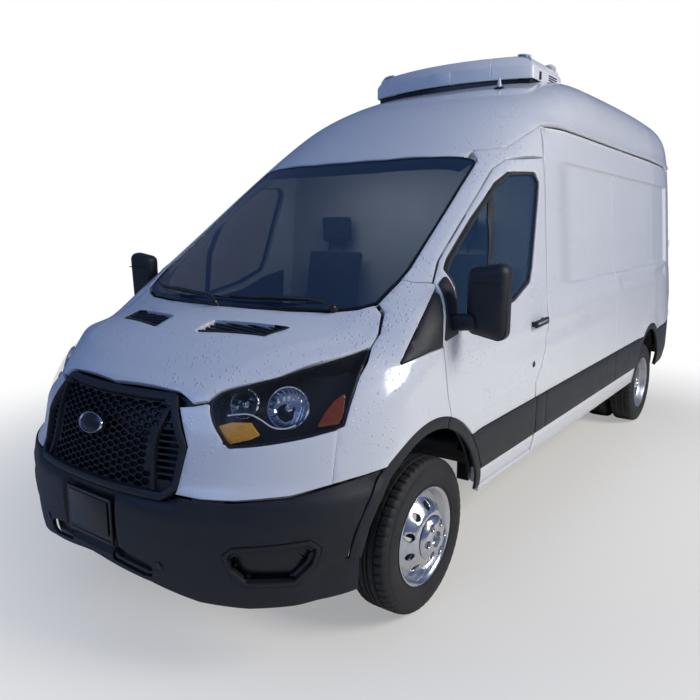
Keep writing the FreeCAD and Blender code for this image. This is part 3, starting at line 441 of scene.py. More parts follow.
def flat_sheet(loops, step, lines_u=(), lines_v=()):
    """Flat sheet inside the first outline and outside the others, cut into a grid."""
    bm = bmesh.new()
    for loop in loops:
        ring = [bm.verts.new((u, v, 0)) for u, v in loop]
        for a, b in zip(ring, ring[1:] + ring[:1]):
            bm.edges.new((a, b))
    bmesh.ops.triangle_fill(bm, edges=bm.edges[:], use_beauty=True, use_dissolve=True)
    for axis, lines in ((0, lines_u), (1, lines_v)):
        low = min(v.co[axis] for v in bm.verts)
        high = max(v.co[axis] for v in bm.verts)
        count = int((high - low) / step) + 1
        cuts = [low + (high - low) * k / count for k in range(1, count)]
        cuts = [c for c in cuts if all(abs(c - f) > step * 0.4 for f in lines)] + list(lines)
        for cut in sorted(cuts):
            place, normal = [0, 0, 0], [0, 0, 0]
            place[axis], normal[axis] = cut, 1
            bmesh.ops.bisect_plane(bm, geom=bm.verts[:] + bm.edges[:] + bm.faces[:], dist=1e-5,
                                   plane_co=place, plane_no=normal)
    bmesh.ops.remove_doubles(bm, verts=bm.verts, dist=2e-4)
    return bm


def from_side(side):
    """View from the left (1) or right (-1): outline as (place from the front axle, height)."""
    def view(uv):
        start = np.stack([np.full(len(uv), 1.7 * side), uv[:, 0] + AXLE, uv[:, 1]], 1)
        return start, np.tile([-1.0 * side, 0, 0], (len(uv), 1)), 1.68
    return view


def from_front(uv):
    """View from ahead: outline as (x, height)."""
    start = np.stack([uv[:, 0], np.full(len(uv), AXLE - 1.5), uv[:, 1]], 1)
    return start, np.tile([0, 1.0, 0], (len(uv), 1)), 3.2


def from_behind(uv):
    """View from the back: outline as (x, height)."""
    start = np.stack([uv[:, 0], np.full(len(uv), AXLE + BACK + 0.5), uv[:, 1]], 1)
    return start, np.tile([0, -1.0, 0], (len(uv), 1)), 1.5


def from_above(uv):
    """View from above: outline as (x, place from the front axle)."""
    start = np.stack([uv[:, 0], uv[:, 1] + AXLE, np.full(len(uv), 3.2)], 1)
    return start, np.tile([0, 0, -1.0], (len(uv), 1)), 2.6


NOSE_DEPTH = 0.35
ROOF_CORE = 1.9


def round_the_nose(uv):
    """View from all round an upright line behind the nose: (arc length at 1 m, height)."""
    a = uv[:, 0]
    way = np.stack([np.sin(a), -np.cos(a), np.zeros(len(a))], 1)
    centre = np.stack([np.zeros(len(a)), np.full(len(a), AXLE - NOSE_DEPTH), uv[:, 1]], 1)
    return centre + way * 1.5, -way, 1.48


def over_the_roof(uv):
    """View from all round a line along the inside of the roof: (arc length at 1 m, place)."""
    a = uv[:, 0]
    way = np.stack([np.sin(a), np.zeros(len(a)), np.cos(a)], 1)
    centre = np.stack([np.zeros(len(a)), uv[:, 1] + AXLE, np.full(len(a), ROOF_CORE)], 1)
    return centre + way * 1.5, -way, 1.4


def nose_angle(x, y):
    return math.atan2(x, -(y + NOSE_DEPTH))


def laid_on(uv, view, relief=None, proud=0.0):
    """Points and normals on the body under flat points."""
    p = onto(uv, view)
    n = normals_at(p)
    lift = np.full(len(p), proud)
    if relief:
        lift = lift + relief(p[:, 0], p[:, 1] - AXLE, p[:, 2])
    return p + n * lift[:, None], n


def placed(name, data):
    """New object in the scene."""
    made = bpy.data.objects.new(name, data)
    bpy.context.scene.collection.objects.link(made)
    return made


def meshed(bm, name):
    """Object made of the faces worked out so far."""
    mesh = bpy.data.meshes.new(name)
    bm.to_mesh(mesh)
    bm.free()
    return placed(name, mesh)


def by_itself(piece):
    """Selects one piece and nothing else."""
    bpy.ops.object.select_all(action="DESELECT")
    piece.select_set(True)
    bpy.context.view_layer.objects.active = piece


def make_object(bm, name, body, coat, replaced=(), smooth=35):
    finish_piece(meshed(bm, name), body, coat, replaced, smooth)


def finish_piece(piece, body, coat, replaced=(), smooth=35):
    """Shading, finish and body of a finished piece."""
    if smooth:
        piece.data.polygons.foreach_set("use_smooth", [True] * len(piece.data.polygons))
        by_itself(piece)
        bpy.ops.object.shade_smooth_by_angle(angle=math.radians(smooth))
        piece.select_set(False)
    slot, material = coat
    piece.data.materials.clear()
    piece.data.materials.append(material)
    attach(piece, body)
    if replaced:
        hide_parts(*replaced)


def panel(name, loops, view, body, coat, thick=0.02, step=0.03, gap=GAP / 2, hem=0.002,
          relief=None, replaced=(), lines_u=(), lines_v=(), proud=0.0, laid=None):
    """Sheet of the body inside an outline, with rolled edges and its whole thickness."""
    outer = moved_in(dense(loops[0], step * 0.6), gap + hem)
    holes = [moved_in(dense(loop, step * 0.6), -gap - hem) for loop in loops[1:]]
    bm = flat_sheet([outer] + holes, step, lines_u, lines_v)
    bm.verts.index_update()
    uv = np.array([(v.co.x, v.co.y) for v in bm.verts])
    p, n = laid(uv) if laid else laid_on(uv, view, relief, proud)
    for v, q in zip(bm.verts, p):
        v.co = q
    bm.normal_update()
    turned = sum(f.normal.dot(Vector(n[f.verts[0].index])) for f in bm.faces) < 0
    if turned:
        bmesh.ops.reverse_faces(bm, faces=bm.faces)
    sheet = list(bm.faces)
    normal_of = {v: Vector(n[v.index]) for v in bm.verts}
    rim = [e for e in bm.edges if e.is_boundary]
    way_out = {}
    for e in rim:
        face = e.link_faces[0]
        a, b = e.verts
        side = (b.co - a.co).cross(normal_of[a])
        side.normalize()
        if side.dot(face.calc_center_median() - a.co) > 0:
            side.negate()
        for v in (a, b):
            way_out[v] = way_out.get(v, Vector()) + side
    ring = {v: v for v in way_out}
    lower = {}
    made = bmesh.ops.duplicate(bm, geom=sheet)
    pairs = made["vert_map"]
    for v in list(ring) + [v for f in sheet for v in f.verts]:
        lower[v] = pairs[v]
    for v, w in lower.items():
        w.co = v.co - normal_of[v] * thick
    bmesh.ops.reverse_faces(bm, faces=[g for g in made["geom"] if isinstance(g, bmesh.types.BMFace)])
    steps = ((0.7, 0.3), (1.0, 1.0)) if hem else ()
    for out, down in steps:
        fresh = {}
        for v, way in way_out.items():
            fresh[v] = bm.verts.new(v.co + way.normalized() * hem * out - normal_of[v] * hem * down)
        rim_faces(bm, rim, ring, fresh)
        ring = fresh
    for v, w in list(lower.items()):
        if v in way_out:
            w.co = w.co + way_out[v].normalized() * hem
    rim_faces(bm, rim, ring, lower)
    make_object(bm, name, body, coat, replaced)


def moulding(name, outline, view, body, proud, step=0.05, **more):
    """Black plastic moulding clipped onto the body."""
    panel(name, [outline], view, body, BLACK, 0.012, step, gap=0.001, hem=0.004, proud=proud, **more)


def rim_faces(bm, rim, upper, lower):
    """Band of faces between two rings round a sheet's edge."""
    for e in rim:
        a, b = e.verts
        loop = next(l for l in e.link_loops if l.face in e.link_faces) if e.link_loops else None
        first, second = (a, b) if loop is None or loop.vert == a else (b, a)
        corners = [upper[second], upper[first], lower[first], lower[second]]
        if len(set(corners)) == 4:
            bm.faces.new(corners)


def onto(points, view):
    """Points of an outline, laid on the body."""
    return cast(*view(np.array(points, float)))


def aslant(way, centre):
    """View along any direction, and the outline that it sees of points in space."""
    d = Vector(way).normalized()
    across = d.cross(Vector((0, 0, 1))).normalized()
    axes = np.array([across, across.cross(d)])
    middle = np.array(centre)

    def view(uv):
        start = middle + uv @ axes - np.array(d) * 0.7
        return start, np.tile(np.array(d), (len(uv), 1)), 1.0

    def seen(points):
        return [tuple(q) for q in (np.array(points) - middle) @ axes.T]

    return view, seen


def from_axle(points):
    """Traced points (x, place from the front axle, height) in millimetres, in space."""
    return [(x / 1000, y / 1000 + AXLE, z / 1000) for x, y, z in points]


def arc_points(centre, radius, start, end, count=28):
    """Points of a circle in side view; angles in degrees from straight back, turning up."""
    return [(centre[0] + radius * math.cos(math.radians(start + (end - start) * k / count)),
             centre[1] + radius * math.sin(math.radians(start + (end - start) * k / count)))
            for k in range(count + 1)]


# Seams of the body in side view: place from the front axle and height

FRONT_ARCH = (-0.100, 0.420)
REAR_ARCH = (3.740, 0.425)
FLARE_F, OPEN_F = 0.490, 0.440
FLARE_R, OPEN_R = 0.455, 0.405
DOOR_FRONT = metres([(45, 470), (50, 890), (8, 1222), (100, 1450)])
DOOR_TOP = metres([(206, 1543), (564, 1801), (818, 1981), (920, 2030), (1254, 2063)])
DOOR_REAR = metres([(1232, 1369), (1215, 1130), (1130, 930), (1045, 860), (1055, 760), (1035, 470)])
WINDOW = metres([(150, 1240), (185, 1500), (244, 1550), (492, 1727), (762, 1908), (880, 1965), (1116, 1975),
                 (1165, 1925), (1023, 1474), (985, 1400), (788, 1324), (500, 1265)])
LOW_BLACK = 0.562


def moulding_top(y):
    return float(np.interp(y, [0.335, 1.047, 3.3, 4.99], [0.760, 0.770, 0.793, 0.812]))


def flare_end(centre, radius, sign):
    """Place where a flare's outer circle reaches the line over the moulding."""
    y = centre[0] + sign * radius
    for _ in range(20):
        y = centre[0] + sign * math.sqrt(radius ** 2 - (moulding_top(y) - centre[1]) ** 2)
    return y


def flare_band(centre, opening, radius, start, end, count):
    """Closed band between a wheel arch's opening and the outer edge of its flare."""
    return (arc_points(centre, opening, start, end, count)
            + arc_points(centre, radius, start, end, count)[::-1])


def over_arch(centre, radius, start_y, end_y, start_z=None, end_z=None):
    """Circle of a wheel arch from one place to another, going over the top."""
    z0 = moulding_top(start_y) if start_z is None else start_z
    z1 = moulding_top(end_y) if end_z is None else end_z
    a = math.degrees(math.atan2(z0 - centre[1], start_y - centre[0]))
    b = math.degrees(math.atan2(z1 - centre[1], end_y - centre[0]))
    return arc_points(centre, radius, a, b)


F_START = FRONT_ARCH[0] - math.sqrt(FLARE_F ** 2 - (0.8 - FRONT_ARCH[1]) ** 2)
F_END = flare_end(FRONT_ARCH, FLARE_F, 1)
R_START = flare_end(REAR_ARCH, FLARE_R, -1)
R_END = flare_end(REAR_ARCH, FLARE_R, 1)
F_FOOT = FRONT_ARCH[0] + math.sqrt(FLARE_F ** 2 - (0.47 - FRONT_ARCH[1]) ** 2)
R_FOOT = REAR_ARCH[0] - math.sqrt(FLARE_R ** 2 - (0.50 - REAR_ARCH[1]) ** 2)


def rising(value, low, high):
    t = np.clip((value - low) / (high - low), 0, 1)
    return t * t * (3 - 2 * t)


def arch_swell(x, y, z):
    """Sheet drawn outwards round the wheel arches."""
    lift = np.zeros_like(y)
    for centre, radius in ((FRONT_ARCH, FLARE_F), (REAR_ARCH, FLARE_R)):
        r = np.hypot(y - centre[0], z - centre[1])
        lift += 0.010 * np.exp(-((r - radius) / 0.06) ** 2) * rising(z, centre[1], centre[1] + 0.2)
    return lift


SIDE_JOINT = 2.637


def side_relief(x, y, z):
    """Pressed forms of the side: sunk field, rail groove, arch swell, crease and gutter."""
    low = 1.354 + 0.012 * (y - 1.5)
    field = rising(z, low - 0.004, low + 0.012) * (1 - rising(z, 2.055, 2.068))
    field = field * rising(y, 1.42, 1.72) * (1 - rising(y, 4.44, 4.465))
    rail_low = 1.262 + 0.012 * (y - 2.7)
    rail = rising(z, rail_low, rail_low + 0.010) * (1 - rising(z, rail_low + 0.045, rail_low + 0.052))
    rail = rail * rising(y, 2.74, 2.78) * (1 - rising(y, 4.36, 4.40))
    crease = 1.125 + 0.045 * np.clip(y, 0.2, 4.4)
    fold = np.exp(-((z - crease) / 0.05) ** 2) * rising(y, 0.15, 0.9) * (1 - rising(y, 3.6, 4.3))
    gutter = rising(z, 2.222, 2.236) * rising(y, 1.30, 1.45)
    low_fold = np.exp(-((z - crease + 0.16) / 0.04) ** 2) * rising(y, 0.3, 1.4) * (1 - rising(y, 3.3, 4.0))
    joint = np.exp(-((y - SIDE_JOINT) / 0.002) ** 2) * (x > 0) * (1 - rising(z, 2.055, 2.068))
    pressed = 0.009 * fold + 0.005 * low_fold - 0.017 * field - 0.012 * rail - 0.022 * gutter
    return arch_swell(x, y, z) + pressed - 0.007 * joint


def rear_seam(side, away=0.0):
    """Outer edge of the rear door in side view, from its foot to its top."""
    edge = dense([(0.955, 0.66), (0.955, 1.10), (0.81, 2.48)], 0.04, False)
    p = onto([(side * (x + away), z) for x, z in edge], from_behind)
    return [(q[1] - AXLE, q[2]) for q in p]


def build_side(side):
    """White side behind the door, the rocker, the door pillars and the black mouldings."""
    word = WORD[side]
    view = from_side(side)
    mt = moulding_top
    seam = [p for p in rear_seam(side, GAP) if p[1] > 0.79]
    rise_y = [p[0] for p in seam]
    rise_z = [p[1] for p in seam]

    def at_seam(z):
        return (float(np.interp(z, rise_z, rise_y)), z)

    outline = [(1.052, mt(1.05))]
    if side < 0:
        outline += [(1.292, mt(1.29)), (1.292, 2.19), (2.56, 2.19), (2.56, mt(2.56))]
    outline += [(R_START, mt(R_START))] + over_arch(REAR_ARCH, FLARE_R, R_START, R_END)[1:]
    outline += [(4.40, mt(4.4)), at_seam(0.815), at_seam(0.98), (4.808, 0.98), (4.808, 1.34), at_seam(1.34)]
    outline += [p for p in seam if 1.37 < p[1] < 2.22] + [at_seam(2.262)]
    outline += [(1.385, 2.262), (1.331, 2.222), DOOR_TOP[-1]] + DOOR_REAR[:4]
    panel("side_panel_" + word, [outline], view, "chassis", WHITE, 0.045, 0.035,
          relief=side_relief, replaced=["side_" + word],
          lines_u=(SIDE_JOINT - 0.005, SIDE_JOINT, SIDE_JOINT + 0.005, 4.437, 4.448, 4.460),
          lines_v=(1.354, 1.366, 1.378, 1.390, 1.402, 2.052, 2.060, 2.069, 2.222, 2.229, 2.236))
    rocker = [(F_FOOT, SILL), (R_FOOT, SILL), (R_FOOT, LOW_BLACK), (1.056, LOW_BLACK), (1.035, 0.470),
              (F_FOOT, 0.470)]
    if side < 0:
        door = [(1.292, mt(1.29)), (2.56, mt(2.56)), (2.56, 2.19), (1.292, 2.19)]
        panel("sliding_door_panel", [rounded(door, [0.0, 0.0, 0.05, 0.05])], view, "chassis", WHITE,
              0.045, 0.035, relief=side_relief, replaced=["sliding_door"],
              lines_v=(1.354, 1.366, 1.378, 1.390, 2.052, 2.060, 2.070))
    panel("rocker_" + word, [rocker], view, "chassis", WHITE, 0.03, 0.05)
    splits = [1.053, 1.20, SIDE_JOINT, R_START] if side > 0 else [1.053, 1.292, 2.56, R_START]
    for k, (a, b) in enumerate(zip(splits, splits[1:])):
        strip = [(a, LOW_BLACK), (b, LOW_BLACK), (b, mt(b)), (a, mt(a))]
        if k == 2:
            foot = math.sqrt(FLARE_R ** 2 - (LOW_BLACK - REAR_ARCH[1]) ** 2)
            strip = [(a, LOW_BLACK), (REAR_ARCH[0] - foot, LOW_BLACK)]
            strip += over_arch(REAR_ARCH, FLARE_R, strip[1][0], b, LOW_BLACK)[1:] + [(a, mt(a))]
        moulding("side_moulding_%s_%d" % (word, k), strip, view, "chassis", 0.003, relief=moulding_relief,
                 replaced=["side_mouldings"] if side > 0 and k == 0 else [])
    flare = flare_band(REAR_ARCH, OPEN_R, FLARE_R, 178, 2, 40)
    moulding("rear_flare_" + word, flare, view, "chassis", 0.005, 0.04)


def moulding_relief(x, y, z):
    """Moulding stands out towards its foot, with a slope along its top."""
    return 0.003 * (1 - rising(z, 0.72, 0.79))


def build_door(side):
    """Door skin with its window opening, trim panel, seal, two panes and moulding."""
    word = WORD[side]
    view, body = from_side(side), "door_%s_body" % word
    mt = moulding_top
    window = rounded(WINDOW, 0.03)
    skin = [(F_END, mt(F_END)), (1.046, mt(1.04))] + DOOR_REAR[3::-1] + DOOR_TOP[::-1]
    skin += [DOOR_FRONT[3], DOOR_FRONT[2], (0.050, 0.889)]
    skin += over_arch(FRONT_ARCH, FLARE_F, 0.050, F_END, 0.889)[1:-1]
    panel("door_skin_" + word, [rounded(skin, 0.012), window], view, body, WHITE, 0.048, 0.03,
          relief=side_relief, replaced=["door_" + word])
    foot = math.sqrt(FLARE_F ** 2 - (LOW_BLACK - FRONT_ARCH[1]) ** 2)
    low = [(F_FOOT + 0.002, 0.470), (1.035, 0.470), (1.041, LOW_BLACK), (FRONT_ARCH[0] + foot, LOW_BLACK)]
    panel("door_foot_" + word, [low], view, body, WHITE, 0.048, 0.04)
    strip = [(FRONT_ARCH[0] + foot, LOW_BLACK), (1.042, LOW_BLACK), (1.054, 0.76), (1.050, mt(1.05)),
             (F_END, mt(F_END))]
    strip += over_arch(FRONT_ARCH, FLARE_F, F_END, FRONT_ARCH[0] + foot, None, LOW_BLACK)[1:-1]
    moulding("door_moulding_" + word, strip, view, body, 0.003, relief=moulding_relief,
             replaced=["door_trim_" + word])
    top = 90 - math.degrees(math.asin(0.145 / FLARE_F))
    flare = flare_band(FRONT_ARCH, OPEN_F, FLARE_F, top, 6, 24)
    moulding("door_flare_" + word, flare, view, body, 0.005, 0.04)
    inner = moved_in(dense(window, 0.02), 0.012)
    panel("door_seal_" + word, [window, inner], view, body, SEAL, 0.02, 0.04, gap=-0.002,
          hem=0.002, proud=-0.005)
    panel("door_pane_" + word, [inner], view, body, GLASS, 0.004, 0.05, gap=-0.004, hem=0.0,
          proud=-0.011, replaced=["door_glass_" + word])
    bar = [(0.484, 1.25), (0.516, 1.252), (0.530, 1.522), (0.604, 1.708), (0.715, 1.870), (0.690, 1.874),
           (0.574, 1.724), (0.498, 1.530)]
    panel("door_window_bar_" + word, [bar], view, body, SEAL, 0.012, 0.05, gap=0.0,
          hem=0.001, proud=-0.008)


# Front end

GRILLE = metres([(-350, 1072), (350, 1072), (462, 900), (450, 740), (400, 700), (-400, 700), (-450, 740),
                 (-462, 900)])
HOOD_SIDE = [(378, -853, 1027), (430, -829, 1037)] + eased([(478, -802, 1048), (490, -784, 1063),
             (516, -752, 1089), (590, -684, 1116), (690, -588, 1148), (781, -462, 1186), (846, -278, 1225)])
LAMP_OUT = eased([(850, -282, 1221), (886, -415, 1130), (901, -485, 1052), (908, -534, 972)])
LAMP_LOW = eased([(898, -560, 963), (832, -634, 939), (726, -734, 916), (630, -804, 903), (596, -822, 908),
                  (566, -824, 938), (530, -822, 978), (502, -810, 1017), (489, -797, 1042)])
GLASS_FOOT = [(0, -288, 1329), (200, -277, 1331), (400, -245, 1333), (580, -199, 1335), (700, -142, 1350),
              (752, -100, 1368)]
GLASS_SIDE = [(781, 32, 1458), (786, 96, 1499), (771, 392, 1717), (744, 813, 2020)]
GLASS_TOP = [(686, 800, 2046), (500, 745, 2048), (250, 695, 2046), (0, 681, 2046)]
SAIL = [(972, -262, 1160), (1005, 4, 1190), (935, 96, 1440)]


def mirror_x(points):
    return [(-p[0],) + tuple(p[1:]) for p in points]


def traced_on(points, side):
    """Traced points of the left side, in space, on either side of the vehicle."""
    return from_axle(points if side > 0 else mirror_x(points))


def on_side(points, side):
    """Side view outline points, laid on the body, in space."""
    return [tuple(p) for p in onto(points, from_side(side))]


def build_fender(side):
    """Fender up to the foot of the pillar, its flare, and the black corner panel."""
    word = WORD[side]
    low = on_side([(F_START, 0.797), (-0.510, 0.781), (-0.603, 0.763), (-0.561, 0.960)], side)
    arch = on_side(over_arch(FRONT_ARCH, FLARE_F, 0.047, F_START, 0.886, 0.80), side)
    traced = LAMP_OUT[::-1] + [(840, -209, 1263), (820, -165, 1301), (802, -124, 1337), (757, -103, 1366),
                               (781, 32, 1458), (846, 50, 1452), (905, 100, 1446)]
    traced = traced_on(traced, side)
    corner = traced_on(SAIL, side)
    front = on_side([(0.012, 1.19), (0.050, 0.889)], side)
    space = arch[1:-1] + low + traced + [corner[2], corner[0], corner[1]] + front
    view, seen = aslant((-0.86 * side, 0.18, -0.42), np.mean(space, axis=0))
    panel("fender_" + word, [rounded(seen(space), 0.004)], view, "chassis", WHITE, 0.022, 0.03,
          relief=arch_swell, replaced=["fenders"] if side > 0 else [])
    flare = flare_band(FRONT_ARCH, OPEN_F, FLARE_F, 73, 172, 30)
    moulding("front_flare_" + word, flare, from_side(side), "chassis", 0.005, 0.035)
    panel("corner_panel_" + word, [rounded(seen(corner), [0.006, 0.006, 0.02])], view, "chassis", BLACK,
          0.014, 0.04, gap=0.001, hem=0.003, proud=0.003, replaced=["sail_panels"] if side > 0 else [])


def hood_relief(x, y, z):
    """Shallow folds of the hood, from the grille's corners towards the foot of the glass."""
    line = 0.40 + 0.32 * np.clip((y + 0.88) / 0.6, 0, 1)
    return 0.005 * np.exp(-((np.abs(x) - line) / 0.035) ** 2) + 0.003 * rising(line - np.abs(x), 0, 0.08)


VENT = [(139, -444), (502, -363), (465, -479), (130, -554)]


def build_hood():
    edge = [(x, y) for x, y, z in metres(HOOD_SIDE)]
    back = [(x / 1000, (y - 14) / 1000) for x, y, z in reversed(GLASS_FOOT[:-1])]
    left = edge + [(0.834, -0.212), (0.813, -0.170), (0.795, -0.132), (0.752, -0.114)] + back
    grille_edge = onto([(0.378, 1.032), (0.352, 1.070), (0.30, 1.074), (0.0, 1.074)], from_front)
    grille_edge = [(p[0], p[1] - AXLE) for p in grille_edge]
    half = grille_edge[::-1][:-1] + left[1:]
    outline = half + [(-x, y) for x, y in reversed(half) if x > 1e-6]
    vents = [metres(VENT), [(-x, y) for x, y in metres(VENT)]]
    panel("hood_skin", [rounded(outline, 0.004)] + [rounded(v, 0.012) for v in vents], from_above,
          "hood_body", WHITE, 0.022, 0.03, relief=hood_relief, replaced=["hood"])
    for v, word in zip(vents, ("left", "right")):
        inner = moved_in(dense(rounded(v, 0.012), 0.02), 0.010)
        panel("hood_vent_frame_" + word, [rounded(v, 0.012), inner], from_above, "hood_body", BLACK,
              0.014, 0.03, gap=-0.002, hem=0.002, relief=hood_relief, proud=0.002)
        low, high = min(p[1] for p in v), max(p[1] for p in v)
        for k in range(7):
            y = low + 0.022 + (high - low - 0.03) * k / 7
            cut = bar_across(inner, y, 0.009)
            if cut:
                panel("hood_vent_slat_%s_%d" % (word, k), [cut], from_above, "hood_body", BLACK,
                      0.006, 0.05, gap=0.0, hem=0.001, relief=hood_relief, proud=-0.006)
        panel("hood_vent_floor_" + word, [inner], from_above, "hood_body", BLACK, 0.003, 0.06,
              gap=-0.002, hem=0.0, proud=-0.018)


def bar_across(outline, v, width):
    """Strip of an outline between two level lines."""
    def crossings(at):
        found = []
        for a, b in zip(outline, outline[1:] + outline[:1]):
            if (a[1] - at) * (b[1] - at) < 0:
                found.append(a[0] + (b[0] - a[0]) * (at - a[1]) / (b[1] - a[1]))
        return sorted(found)
    low, high = crossings(v), crossings(v + width)
    if len(low) < 2 or len(high) < 2 or low[-1] - low[0] < 0.03 or high[-1] - high[0] < 0.03:
        return None
    return [(low[0], v), (low[-1], v), (high[-1], v + width), (high[0], v + width)]


def build_windshield():
    """Glass with its black border, a dark band of painted shade across its top, and the pillars beside it.
    """
    half = GLASS_FOOT + GLASS_SIDE + GLASS_TOP
    ring = half + mirror_x(half[1:-1][::-1])
    space = from_axle(ring)
    view, seen = aslant((0, 0.59, -0.81), np.mean(space, axis=0))
    outline = rounded(seen(space), [0.01 if abs(p[0]) < 700 else 0.03 for p in ring])
    panel("windshield_pane", [outline], view, "chassis", GLASS, 0.005, 0.05, gap=0.003, hem=0.001,
          proud=-0.004, replaced=["windshield"])
    inner = moved_in(dense(outline, 0.02), 0.030)
    panel("windshield_border", [moved_in(dense(outline, 0.02), 0.004), inner], view, "chassis", BORDER,
          0.001, 0.05, gap=0.0, hem=0.0, proud=-0.0105)
    # Dark opaque band over the top of the glass: painted shade standing in for the dark cab roof seen
    # through the glass.
    top = [k for k, p in enumerate(ring) if p[2] > 2010]
    band = [p for k, p in enumerate(seen(space)) if k in top]
    band = [(u * 0.985, v - 0.010) for u, v in band]
    band += [(u * 0.955, v - 0.105) for u, v in reversed(band)]
    panel("windshield_painted_shade", [band], view, "chassis", BORDER, 0.001, 0.05, gap=0.0, hem=0.0,
          proud=-0.0120)
    panel("windshield_trim", [outline, moved_in(dense(outline, 0.02), 0.008)], view, "chassis", BORDER,
          0.014, 0.05, gap=-0.001, hem=0.001, proud=-0.002)
    for side, word in HANDS:
        inside = GLASS_SIDE[1:] + [(690, 862, 2078)]
        inside = traced_on([(846, 50, 1452), (781, 32, 1458)] + inside, side)
        outside_edge = on_side([DOOR_FRONT[3]] + DOOR_TOP + [(1.331, 2.222), (1.385, 2.262)], side)
        roof_side = on_side([(1.2, 2.19), (1.0, 2.102)], side)
        space = inside + roof_side[::-1] + outside_edge[::-1]
        view, seen = aslant((-0.72 * side, 0.42, -0.55), np.mean(space, axis=0))
        panel("pillar_" + word, [rounded(seen(space), 0.004)], view, "chassis", WHITE, 0.03, 0.03)


def build_roof():
    """Roof from the top of the windshield to the tail, with its lip over the gutter."""
    def edge(points, side):
        p = onto(points, from_side(side))
        return [(math.atan2(q[0], q[2] - ROOF_CORE), q[1] - AXLE) for q in p]

    lip = [(1.0, 2.102), (1.2, 2.19), (1.398, 2.266), (1.8, 2.266), (3.0, 2.266), (4.4, 2.266),
           (4.86, 2.266), (4.925, 2.266)]
    left = edge(lip, 1)
    glass = metres([(690, 862, 2078)] + GLASS_TOP[:-1])
    glass = [(math.atan2(x, z - ROOF_CORE), y + 0.004) for x, y, z in glass]
    half = [(0.0, 0.685)] + glass[::-1] + left + [(0.55, 4.945), (0.0, 4.945)]
    outline = half + [(-a, y) for a, y in reversed(half) if a > 1e-6]
    panel("roof_skin", [rounded(outline, 0.0)], over_the_roof, "chassis", WHITE, 0.04, 0.045,
          gap=0.002, hem=0.004, replaced=["roof"], relief=roof_relief)


def roof_relief(x, y, z):
    """Lip over the gutter."""
    return 0.010 * (1 - rising(z, 2.27, 2.30)) * rising(y, 1.2, 1.5)


def to_nose(points):
    """Points in space as the view round the nose sees them."""
    return [(nose_angle(x, y - AXLE), z) for x, y, z in points]


BUMPER_TOP = [(447, -946, 725), (549, -914, 719), (658, -858, 721), (812, -730, 735), (905, -601, 760),
              (1004, -420, 794)]
BUMPER_FOOT = [(56, -1014, 398), (333, -987, 364), (540, -927, 320), (718, -849, 313), (866, -747, 326),
               (968, -616, 338)]
FOG = [(629, -892, 527), (663, -875, 557), (879, -703, 582), (907, -670, 550), (891, -685, 482),
       (839, -736, 414), (694, -847, 409), (644, -880, 464)]
SLOT = [(0.140, 0.478), (0.295, 0.452), (0.345, 0.428), (0.340, 0.392), (0.300, 0.388), (0.140, 0.412)]


def build_fascia(side):
    """White corner of the nose, between the grille, the lamp and the bumper."""
    word = WORD[side]
    traced = [(382, -853, 1026), (465, -893, 898), (454, -944, 740)]
    traced += [(x, y, z + 4) for x, y, z in BUMPER_TOP[:5]]
    traced += [(901, -559, 960)] + LAMP_LOW[3:] + [(478, -806, 1043), (432, -831, 1032)]
    space = traced_on(traced, side)
    view, seen = aslant((-0.62 * side, 0.77, -0.1), np.mean(space, axis=0))
    panel("fascia_" + word, [rounded(seen(space), 0.004)], view, "chassis", WHITE, 0.02, 0.025,
          replaced=["front_fascia"] if side > 0 else [])


def bumper_relief(x, y, z):
    """Recess for the plate, shelf under the grille, and the step at the corners."""
    ax = np.abs(x)
    plate = rising(0.180 - ax, 0, 0.014) * rising(z, 0.440, 0.452) * (1 - rising(z, 0.668, 0.680))
    shelf = rising(z, 0.668, 0.715) * (1 - rising(ax, 0.42, 0.50))
    line = 0.481 + 0.30 * (y + 0.648)
    step = (1 - rising(z, line - 0.010, line)) * rising(y, -0.74, -0.66)
    brow = np.exp(-((z - 0.640) / 0.022) ** 2) * rising(ax, 0.22, 0.34)
    return -0.024 * plate - 0.030 * shelf - 0.012 * step + 0.004 * brow


def build_bumper():
    """Bumper round the nose, its fog lamp recesses and lower slots."""
    side_points = [(-0.534, 0.345), (-0.536, 0.481), (-0.586, 0.488)]
    side_points += arc_points(FRONT_ARCH, FLARE_F, 171, 129.5, 12)
    half = [to_nose([(p[0], p[1], p[2])])[0] for p in from_axle(BUMPER_FOOT)]
    half += to_nose(on_side(side_points, 1)) + to_nose(from_axle(BUMPER_TOP[::-1]))
    half += to_nose([tuple(p) for p in onto([(0.402, 0.697)], from_front)])
    outline = [(0.0, 0.402)] + half + [(0.0, 0.697)] + [(-a, z) for a, z in reversed(half)]
    fogs, slots = [], []
    for side in (1, -1):
        traced = traced_on(FOG, side)
        fogs.append(rounded(to_nose(traced), 0.016))
        slot = onto([(x * side, z) for x, z in SLOT], from_front)
        slots.append(rounded(to_nose([tuple(p) for p in slot]), 0.012))
    panel("front_bumper_skin", [rounded(outline, 0.003)] + fogs + slots, round_the_nose, "chassis", BLACK,
          0.016, 0.022, gap=0.002, relief=bumper_relief, replaced=["front_bumper"])
    for fog, slot, word in zip(fogs, slots, ("left", "right")):
        ring = moved_in(dense(fog, 0.015), 0.014)
        panel("fog_bezel_" + word, [fog, ring], round_the_nose, "chassis", BLACK, 0.030, 0.03,
              gap=-0.001, hem=0.003, proud=0.004)
        inner = moved_in(ring, 0.018)
        panel("fog_dish_" + word, [ring, inner], round_the_nose, "chassis", BLACK, 0.014, 0.03,
              gap=-0.001, hem=0.002, proud=-0.012)
        panel("fog_floor_" + word, [inner], round_the_nose, "chassis", SMOOTH, 0.004, 0.03,
              gap=-0.003, hem=0.001, proud=-0.030)
        panel("bumper_slot_floor_" + word, [moved_in(slot, -0.045)], round_the_nose, "chassis", SMOOTH,
              0.004, 0.04, gap=0.0, hem=0.001, proud=-0.030)


